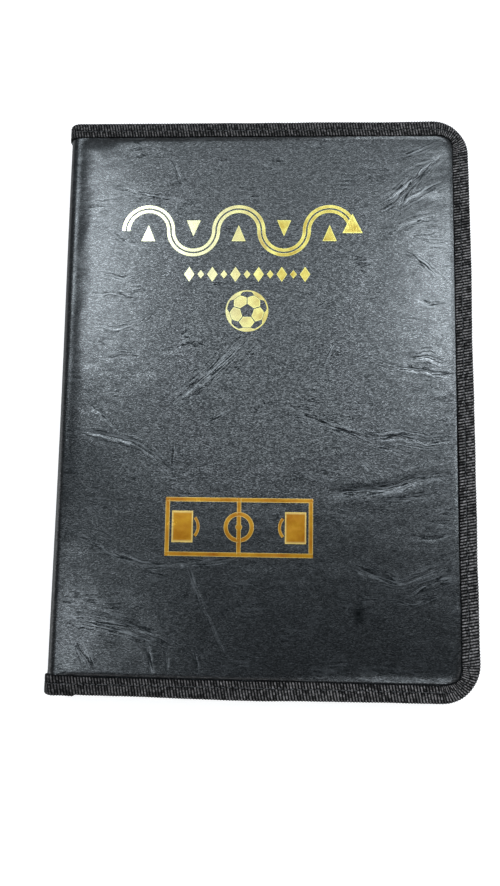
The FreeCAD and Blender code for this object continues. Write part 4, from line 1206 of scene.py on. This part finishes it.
# Linings: plain black cloth is glued inside each cover and runs over the fold to the middle of the spine.
# The binding tape holds its edges, and the boards lie on it.
LINING_SPINE_X, LINING_RIM, LINING_X, LINING_Y, LINING_CORNER = -118.5, 22.5, 116.5, 165.0, 16.0
LINING_SINK, LINING_WAVE, LINING_CELL, LINING_SEED = 0.06, 14.0, 2.5, 3.0


def cover_lining(name, cell, seed, flipped, material):
    """A cover's lining, seen from inside the folder."""
    level = even_steps(FOLD_X, LINING_X, cell)
    x, z, out_x, out_z, along = sheet_section(LINING_SPINE_X, LINING_RIM, level)
    flat_x, flat_y = np.meshgrid(along, even_steps(-LINING_Y, LINING_Y, cell))
    sink = LINING_SINK * (1 + ripple(flat_x, flat_y, LINING_WAVE, 2, seed))
    place_x, place_y, outside = rounded(x + sink * out_x, flat_y, LINING_X, LINING_Y, LINING_CORNER)
    points = np.stack([place_x, place_y, z + sink * out_z], axis=2)
    faces = grid_faces(*flat_x.shape, drop=outside)[:, ::-1]
    if flipped:
        points, faces = turned_over(points, faces)
    return make_piece(name, points, faces, material, np.stack([flat_x, flat_y], axis=2))


lining_cloth = cloth_finish("lining_cloth", (0.020, 0.020, 0.022), (0.030, 0.030, 0.033), 0.9, 0.9, 0.1)
for cover, flipped in (("front", False), ("back", True)):
    lining = cover_lining(cover + "_cover_lining", LINING_CELL, LINING_SEED, flipped, lining_cloth)
    bend_with_cover(lining, cover + "_cover")
    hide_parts(cover + "_lining")
    if cover == "front":
        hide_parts("spine_lining")

# Boards: a white coated steel sheet takes the magnets, and a gloss film with a printed pitch lies on it.
# A narrow leathercloth frame is sewn over the edges of both, with its corners mitred.
WINDOW, WINDOW_CORNER = (-88.5, 98.5, 147.0), 2.0
FRAME_OUT, FRAME_CORNER, FRAME_BAND = (-96.5, 106.5, 155.0), 7.0, 8.0
FRAME_SIDES, FRAME_TURN, FRAME_WAVE, FRAME_WAVE_SIZE = (120, 180), 9, 0.05, 6.0
FRAME_SHARE = np.array([0.0, 0.01, 0.05, 0.14, 0.3, 0.5, 0.7, 0.84, 0.93, 0.985, 1.0])
FRAME_LEVEL = np.array([0.0, 0.7, 1.15, 1.38, 1.5, 1.55, 1.52, 1.45, 1.35, 1.15, 0.82])
FRAME_SEAMS, FRAME_STITCH, SEAM_LIFT = (0.2, 0.8), (3.2, 2.4, 0.2), 0.05
BOARD_FOOT, FILM_TOP = 5.5, 6.3
LINE_WIDTH, LINE_STEP, LINE_LIFT = 1.1, 4.0, 0.03
PITCH_HALF, PITCH_TOP, BOX_HALF, GOAL_HALF, SPOT = 82.0, 134.0, 49.0, 22.0, 1.3
# How deep the box and the goal area are, how far the spot lies from the goal line, and the circle's radius.
FULL_PITCH, LARGE_HALF = (42.0, 14.0, 28.0, 23.0), (78.0, 28.0, 54.0, 44.0)
STRIPE, STRIPE_EDGE, STRIPE_TONES = 22.3, 0.12, (0.82, 1.18)


def round_box(left, right, top, radius, sides, turn):
    """A closed round rectangle with a fixed count of points on each side and corner, counter-clockwise."""
    runs = []
    for x, y, first in ((right, top, 0), (left, top, 90), (left, -top, 180), (right, -top, 270)):
        centre = np.array((x - radius * math.copysign(1, x), y - radius * math.copysign(1, y)))
        angle = np.radians(np.linspace(first, first + 90, turn))
        runs.append(centre + radius * np.stack([np.cos(angle), np.sin(angle)], axis=1))
    points = []
    for k in range(4):
        points += [runs[k][:-1], np.linspace(runs[k][-1], runs[(k + 1) % 4][0], sides[k % 2])[:-1]]
    return np.concatenate(points + [points[0][:1]])


def board_frame(name, flipped, material):
    """The sewn frame round a board, and the lines that its two stitch rows follow."""
    outer = round_box(*FRAME_OUT, FRAME_CORNER, FRAME_SIDES, FRAME_TURN)
    inner = round_box(*WINDOW, WINDOW_CORNER, FRAME_SIDES, FRAME_TURN)
    share = FRAME_SHARE[None, :, None]
    flat = outer[:, None] * (1 - share) + inner[:, None] * share
    wave = FRAME_WAVE * ripple(flat[..., 0], flat[..., 1], FRAME_WAVE_SIZE, 2, 2.2)
    z = BOARD_FOOT + FRAME_LEVEL[None] + wave * (FRAME_LEVEL > 1.0)
    points, faces = np.concatenate([flat, z[..., None]], axis=2), grid_faces(*z.shape)
    if not flipped:
        points, faces = turned_over(points, faces)
    measure = lengths_along(outer)
    sheet_place = np.stack(np.broadcast_arrays(measure[:, None], FRAME_SHARE[None] * FRAME_BAND), axis=2)
    seams = []
    for place in FRAME_SEAMS:
        level = BOARD_FOOT + np.interp(place, FRAME_SHARE, FRAME_LEVEL) + SEAM_LIFT
        seams.append(at_level(outer * (1 - place) + inner * place, level))
    return make_piece(name, points, faces, material, sheet_place), seams


def pitch_shapes(half_only):
    """Lines of a full pitch, or of one half of it drawn larger, lengthwise on the board."""
    box, area, spot_far, ring = LARGE_HALF if half_only else FULL_PITCH
    middle, half, top = (WINDOW[0] + WINDOW[1]) / 2, PITCH_HALF, PITCH_TOP
    corners = [(-half, -top), (half, -top), (half, top), (-half, top), (-half, -top)]
    runs = list(zip(corners, corners[1:]))
    if half_only:
        shapes = [ribbon(arc((0.0, top), ring, 180, 360), LINE_WIDTH)]
    else:
        runs.append(((-half, 0.0), (half, 0.0)))
        shapes = [ribbon(arc((0.0, 0.0), ring, 0, 360), LINE_WIDTH)]
        shapes.append(filled(arc((0.0, 0.0), SPOT, 0, 330, 0.6), 2))
    open_half = math.degrees(math.acos((box - spot_far) / ring))
    for end in (-1,) if half_only else (-1, 1):
        base, ahead = end * top, 180 + 90 * end
        for deep, width in ((box, BOX_HALF), (area, GOAL_HALF)):
            inner = base - end * deep
            corners = [(-width, base), (-width, inner), (width, inner), (width, base)]
            runs += zip(corners, corners[1:])
        spot = (0.0, base - end * spot_far)
        shapes.append(filled(arc(spot, SPOT, 0, 330, 0.6), 2))
        shapes.append(ribbon(arc(spot, ring, ahead - open_half, ahead + open_half), LINE_WIDTH))
    shapes += ruled(runs, LINE_WIDTH, LINE_STEP)
    return [(points + (middle, 0), faces) for points, faces, _ in shapes]


def pitch_finish(name, dark, light):
    """Gloss print of mown grass: broad stripes across the pitch, with a fine speckle."""
    material, tree, shader, coords = new_finish(name, dark, light, 2.2, (0.16, 0.26))
    colour = base_of(shader)
    run = put(tree, "SeparateXYZ", {0: coords}).outputs["Y"]
    stripes = calc(tree, "COSINE", calc(tree, "MULTIPLY", run, math.pi * 1000 / STRIPE))
    tone = ramp(tree, stripes, -STRIPE_EDGE, STRIPE_EDGE, *STRIPE_TONES)
    tree.links.new(scaled(tree, colour, tone), shader.inputs["Base Color"])
    return material


white_steel = new_finish("white_steel", (0.74, 0.74, 0.74), (0.82, 0.82, 0.82), 20.0, (0.3, 0.4))[0]
green_print = pitch_finish("green_print", (0.055, 0.27, 0.085), (0.075, 0.33, 0.105))
white_line = new_finish("white_line", (0.78, 0.79, 0.78), (0.86, 0.86, 0.85), 2.0, (0.18, 0.26))[0]
frame_leather = leather_finish("frame_leather", 0.8, 0.05, (0.42, 0.52))
grey_thread = new_finish("grey_thread", (0.10, 0.10, 0.105), (0.16, 0.16, 0.165), 1.0, (0.6, 0.75))[0]
dress(white_steel, "back_steel_sheet", "front_steel_sheet")
dress(green_print, "back_pitch_film", "front_pitch_film")
for cover, flipped in (("front", False), ("back", True)):
    edging, seams = board_frame(cover + "_sewn_frame", flipped, frame_leather)
    up = np.tile((0.0, 0.0, 1.0), (len(seams[0]), 1))
    rows = [stitch_row(lengths_along(seam), seam, up, *FRAME_STITCH) for seam in seams]
    points, faces = joined(rows)
    flat, line_faces = joined(pitch_shapes(cover == "front"))
    lines, line_faces = at_level(flat, FILM_TOP + LINE_LIFT), facing(flat, line_faces)
    if not flipped:
        points, faces = turned_over(points, faces)
        lines, line_faces = turned_over(lines, line_faces)
    stitches = make_piece(cover + "_frame_stitches", points, faces, grey_thread)
    pitch = make_piece(cover + "_pitch_lines", lines, line_faces, white_line, smooth=False)
    for piece, slot in ((edging, "frame_leather"), (stitches, "frame_leather"), (pitch, "pitch_print")):
        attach(piece, cover + "_cover")
    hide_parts(cover + "_board_frame")

# Zip: a woven tape stands on the inner leg of each binding, and moulded black teeth sit on its edge.
# The slider joins the two rows, and its pull tab hangs on a bridge.
ZIP_START, ZIP_INSET, ZIP_FOOT, ZIP_TOP, ZIP_HALF, HEM, HEM_TOP = -96.5, 8.0, 6.4, 11.6, 0.35, 2.5, 7.1
ZIP_STEP, ZIP_SWAY, ZIP_SWAY_SIZE = 1.5, 0.22, 17.0


def zip_tape(name, flipped, material):
    """One half of the zip's cloth: a hem on the binding, and a wall that carries the teeth."""
    runs, inward = mouth_run(ZIP_START, ZIP_INSET, ZIP_STEP)
    edge, way = at_level(np.concatenate(runs), ZIP_FOOT), at_level(np.concatenate(inward), 0.0)
    out = np.tile((0.0, 0.0, 1.0), (len(edge), 1))
    along = lengths_along(edge)
    half, wall, hem = ZIP_HALF, ZIP_TOP - ZIP_FOOT, HEM_TOP - ZIP_FOOT
    section = [(-half, 0), (-half, wall * 0.33), (-half, wall * 0.66), (-half, wall)]
    section += [(half, wall), (half, wall * 0.66), (half, wall * 0.33), (half + 0.2, hem + 0.15)]
    section += [(half + 0.7, hem), (HEM - 0.1, hem), (HEM, 0)]
    section = np.array(section)
    bow = ZIP_SWAY * waver(along, ZIP_SWAY_SIZE, 5.0)[:, None]
    sway = bow * np.sin(np.clip(section[None, :, 1] / wall, 0, 1) * np.pi)
    points = carry(edge, way, out, section[:, 0] + sway, np.broadcast_to(section[:, 1], sway.shape))
    flat = np.stack(np.broadcast_arrays(along[:, None], lengths_along(section)[None]), axis=2)
    faces = grid_faces(*sway.shape)[:, ::-1].tolist()
    last = (len(along) - 1) * len(section)
    faces += [list(range(len(section))), [last + k for k in reversed(range(len(section)))]]
    if not flipped:
        points, faces = turned_over(points, faces)
    return make_piece(name, points, faces, material, flat, smooth=False)


zip_cloth = cloth_finish("zip_cloth", (0.016, 0.016, 0.018), (0.026, 0.026, 0.028), 0.7, 0.9, 0.1)
for cover, flipped in (("front", False), ("back", True)):
    cloth = zip_tape(cover + "_zip_cloth", flipped, zip_cloth)
    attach(cloth, cover + "_cover")
    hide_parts(cover + "_zip_tape")
tooth_plastic = new_finish("tooth_plastic", (0.020, 0.020, 0.021), (0.034, 0.034, 0.036), 4.0, (0.36, 0.5))[0]
dress(tooth_plastic, "back_zip_teeth", "front_zip_teeth")
NICKEL, NICKEL_LIGHT = (0.06, 0.06, 0.064), (0.14, 0.14, 0.15)
black_nickel, _, nickel, _ = new_finish("black_nickel", NICKEL, NICKEL_LIGHT, 1.6, (0.24, 0.4))
nickel.inputs["Metallic"].default_value = 1.0
dress(black_nickel, "zip_slider", "zip_pull_tab")

# Pen loops: two lengths of ribbed elastic hug the marker on the inside of the spine.
# Both ends of each are sewn to the spine lining.
MARKER_X, LOOP_RADIUS, LOOP_BAND, LOOP_WIDTH = -111.7, 6.3, 0.9, 18.0
LOOP_STARTS, LOOP_FOOT = (-128.0, -75.0), ((0.0, 8.6), (0.0, 7.0), (0.5, 5.9))
LOOP_LEAN, ELASTIC_RIB, RIB_RISE = math.radians(52), 1.5, 0.12


def pen_loops(material):
    """Both loops as one piece: a band whose ribs run round the marker, with its two feet on the lining."""
    angle = np.linspace(math.pi + LOOP_LEAN, math.pi * 3 - LOOP_LEAN, 40)
    ring = np.stack([MARKER_X + LOOP_RADIUS * np.cos(angle), MID + LOOP_RADIUS * np.sin(angle)], axis=1)
    wall = LINING_SPINE_X + LOOP_BAND / 2
    foot = [(wall + x, MID - z) for x, z in LOOP_FOOT]
    head = [(x, DEPTH - z) for x, z in reversed(foot)]
    line = np.concatenate([foot, ring, head])
    steps = even_steps(0, LOOP_WIDTH, ELASTIC_RIB / 6)
    thick = LOOP_BAND / 2 - RIB_RISE + RIB_RISE * np.cos(2 * np.pi * steps / ELASTIC_RIB)
    side = sideways(line)[:, None] * thick[None, :, None]
    rows, columns = len(line), len(steps)
    over, squares = rows * columns, grid_faces(rows, columns)
    faces = squares.tolist() + (squares[:, ::-1] + over).tolist()
    for k in range(rows - 1):
        a, b = k * columns, (k + 1) * columns
        faces.append([a, b, over + b, over + a])
        a, b = a + columns - 1, b + columns - 1
        faces.append([b, a, over + a, over + b])
    for k in range(columns - 1):
        faces.append([k + 1, k, over + k, over + k + 1])
        a = (rows - 1) * columns + k
        faces.append([a, a + 1, over + a + 1, over + a])
    loops = []
    for start in LOOP_STARTS:
        y = np.broadcast_to(start + steps, (rows, columns))
        skins = [line[:, None] - side, line[:, None] + side]
        points = [np.stack([skin[..., 0], y, skin[..., 1]], axis=2).reshape(-1, 3) for skin in skins]
        loops.append((np.concatenate(points), faces))
    flat = np.stack(np.broadcast_arrays(lengths_along(line)[:, None], steps[None]), axis=2).reshape(-1, 2)
    return make_piece("elastic_loops", *joined(loops), material, np.tile(flat, (2 * len(loops), 1)))


elastic = cloth_finish("elastic", (0.015, 0.015, 0.017), (0.024, 0.024, 0.026), 0.8, 0.5, 0.08)
loops = pen_loops(elastic)
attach(loops, "spine")
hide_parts("pen_loops")

# Marker: a white moulded barrel with a black tail plug, a fibre nib and a black cap with a felt eraser.
# It is pulled out along the spine, and the cap is pushed on.
white_plastic = new_finish("white_plastic", (0.76, 0.76, 0.75), (0.82, 0.82, 0.81), 18.0, (0.22, 0.32))[0]
CAP_BLACKS = (0.018, 0.018, 0.019), (0.028, 0.028, 0.03)
black_plastic = new_finish("black_plastic", *CAP_BLACKS, 10.0, (0.24, 0.36))[0]
nib_fibre = new_finish("nib_fibre", (0.012, 0.012, 0.012), (0.03, 0.03, 0.03), 0.5, (0.85, 0.95))[0]
dress(white_plastic, "marker_barrel")
dress(black_plastic, "marker_tail_plug", "marker_cap")
dress(nib_fibre, "marker_nib")
ERASER_START, ERASER_LENGTH, ERASER_RADIUS, ERASER_FUZZ = -20.0, 6.0, 5.5, 0.09
ERASER_SPREAD = (0.0, 0.6, 0.97, 1.0, 1.01, 1.0, 0.95, 0.85, 0.6, 0.3, 0.0)
ERASER_SHARE = (0.0, 0.0, 0.02, 0.12, 0.5, 0.8, 0.93, 0.99, 1.0, 1.0, 1.0)


def felt_eraser(material):
    """A disc of felt with a soft rim and a fuzzy, uneven face."""
    angle = np.linspace(0, 2 * np.pi, 41)[:-1]
    points = []
    for radius, share in zip(ERASER_SPREAD, ERASER_SHARE):
        spots = [Vector((math.cos(a) * 3, math.sin(a) * 3, share * 4)) for a in angle]
        fuzz = np.array([ERASER_FUZZ * noise.noise(spot) for spot in spots])
        spread = radius * ERASER_RADIUS + fuzz * (radius > 0.5)
        ring = np.stack([MARKER_X + spread * np.cos(angle), MID + spread * np.sin(angle)], axis=1)
        points.append(np.insert(ring, 1, ERASER_START + share * ERASER_LENGTH, axis=1))
    faces = ring_faces(len(points), len(angle))
    return make_piece("felt_eraser", np.concatenate(points), faces, material)


FELT, FELT_LIGHT, FELT_FIBRES = (0.07, 0.07, 0.075), (0.13, 0.13, 0.14), 2600.0
felt, tree, shader, place = new_finish("felt", FELT, FELT_LIGHT, 0.8, (0.92, 1.0))
add_bump(tree, shader, cloud(tree, place, FELT_FIBRES, 3.0), 0.25)
eraser = felt_eraser(felt)
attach(eraser, "cap")
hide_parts("marker_cap_eraser")

# Magnets: eleven red and eleven blue players with printed numbers, and a white ball with black panels.
# Each is a moulded button with a magnet in its foot, and lies on the film of the back board.
PRINT_LIFT, NUMBER_SIZE = 0.04, 6.2
PANEL, PANEL_SEAM, PANEL_LINE = 0.34, 0.6, 0.3
RIM_PANEL = ((0.58, 0), (0.68, 0.2), (0.77, 0.14), (0.78, 0), (0.77, -0.14), (0.68, -0.2))
red_plastic = new_finish("red_plastic", (0.52, 0.018, 0.016), (0.62, 0.026, 0.022), 9.0, (0.2, 0.3))[0]
blue_plastic = new_finish("blue_plastic", (0.016, 0.075, 0.42), (0.022, 0.10, 0.52), 9.0, (0.2, 0.3))[0]
ball_plastic = new_finish("ball_plastic", (0.76, 0.76, 0.75), (0.82, 0.82, 0.81), 6.0, (0.2, 0.3))[0]
white_print = new_finish("white_print", (0.78, 0.78, 0.77), (0.85, 0.85, 0.84), 2.0, (0.3, 0.4))[0]
black_print = new_finish("black_print", (0.012, 0.012, 0.012), (0.02, 0.02, 0.02), 2.0, (0.3, 0.4))[0]
dress(ball_plastic, "magnet_ball")


def printed_number(name, number, centre, top, material):
    """A player's number on the top of a magnet."""
    words = bpy.data.curves.new(name, "FONT")
    words.body = str(number)
    words.size = NUMBER_SIZE
    words.align_x = "CENTER"
    words.align_y = "CENTER"
    writing = bpy.data.objects.new(name, words)
    mesh = bpy.data.meshes.new_from_object(writing)
    points = np.array([vertex.co for vertex in mesh.vertices])
    points[:, :2] -= (points[:, :2].min(axis=0) + points[:, :2].max(axis=0)) / 2
    points = points * (1, 1, 0) + (centre[0], centre[1], top + PRINT_LIFT)
    faces = [list(face.vertices) for face in mesh.polygons]
    bpy.data.objects.remove(writing)
    bpy.data.meshes.remove(mesh)
    return make_piece(name, points, facing(points, faces), material, smooth=False)


for team, plastic in (("red", red_plastic), ("blue", blue_plastic)):
    for number in range(1, 12):
        node = "magnet_%s_%02d" % (team, number)
        dress(plastic, node)
        low, high = (np.array(corner) * 1000 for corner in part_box(node))
        name = "number_%s_%02d" % (team, number)
        figure = printed_number(name, number, (low + high) / 2, high[2], white_print)
        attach(figure, "%s_%02d" % (team, number))
low, high = (np.array(corner) * 1000 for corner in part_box("magnet_ball"))
ball_middle, ball_radius = (low + high)[:2] / 2, (high - low)[0] / 2
ways = [np.array((math.sin(turn), math.cos(turn))) for turn in np.radians(np.arange(0, 360, 72))]
panels = [filled([ball_middle + PANEL * ball_radius * way for way in ways], 2)]
for way in ways:
    side = np.array((way[1], -way[0]))
    start, end = (ball_middle + way * ball_radius * share for share in (PANEL, PANEL_SEAM))
    panels.append(ribbon(straight(start, end, 0.4), PANEL_LINE))
    panels.append(filled([ball_middle + ball_radius * (way * a + side * b) for a, b in RIM_PANEL], 2))
flat, faces = joined(panels)
points = at_level(flat, high[2] + PRINT_LIFT)
ball_print = make_piece("ball_panels", points, facing(flat, faces), black_print, smooth=False)
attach(ball_print, "ball")
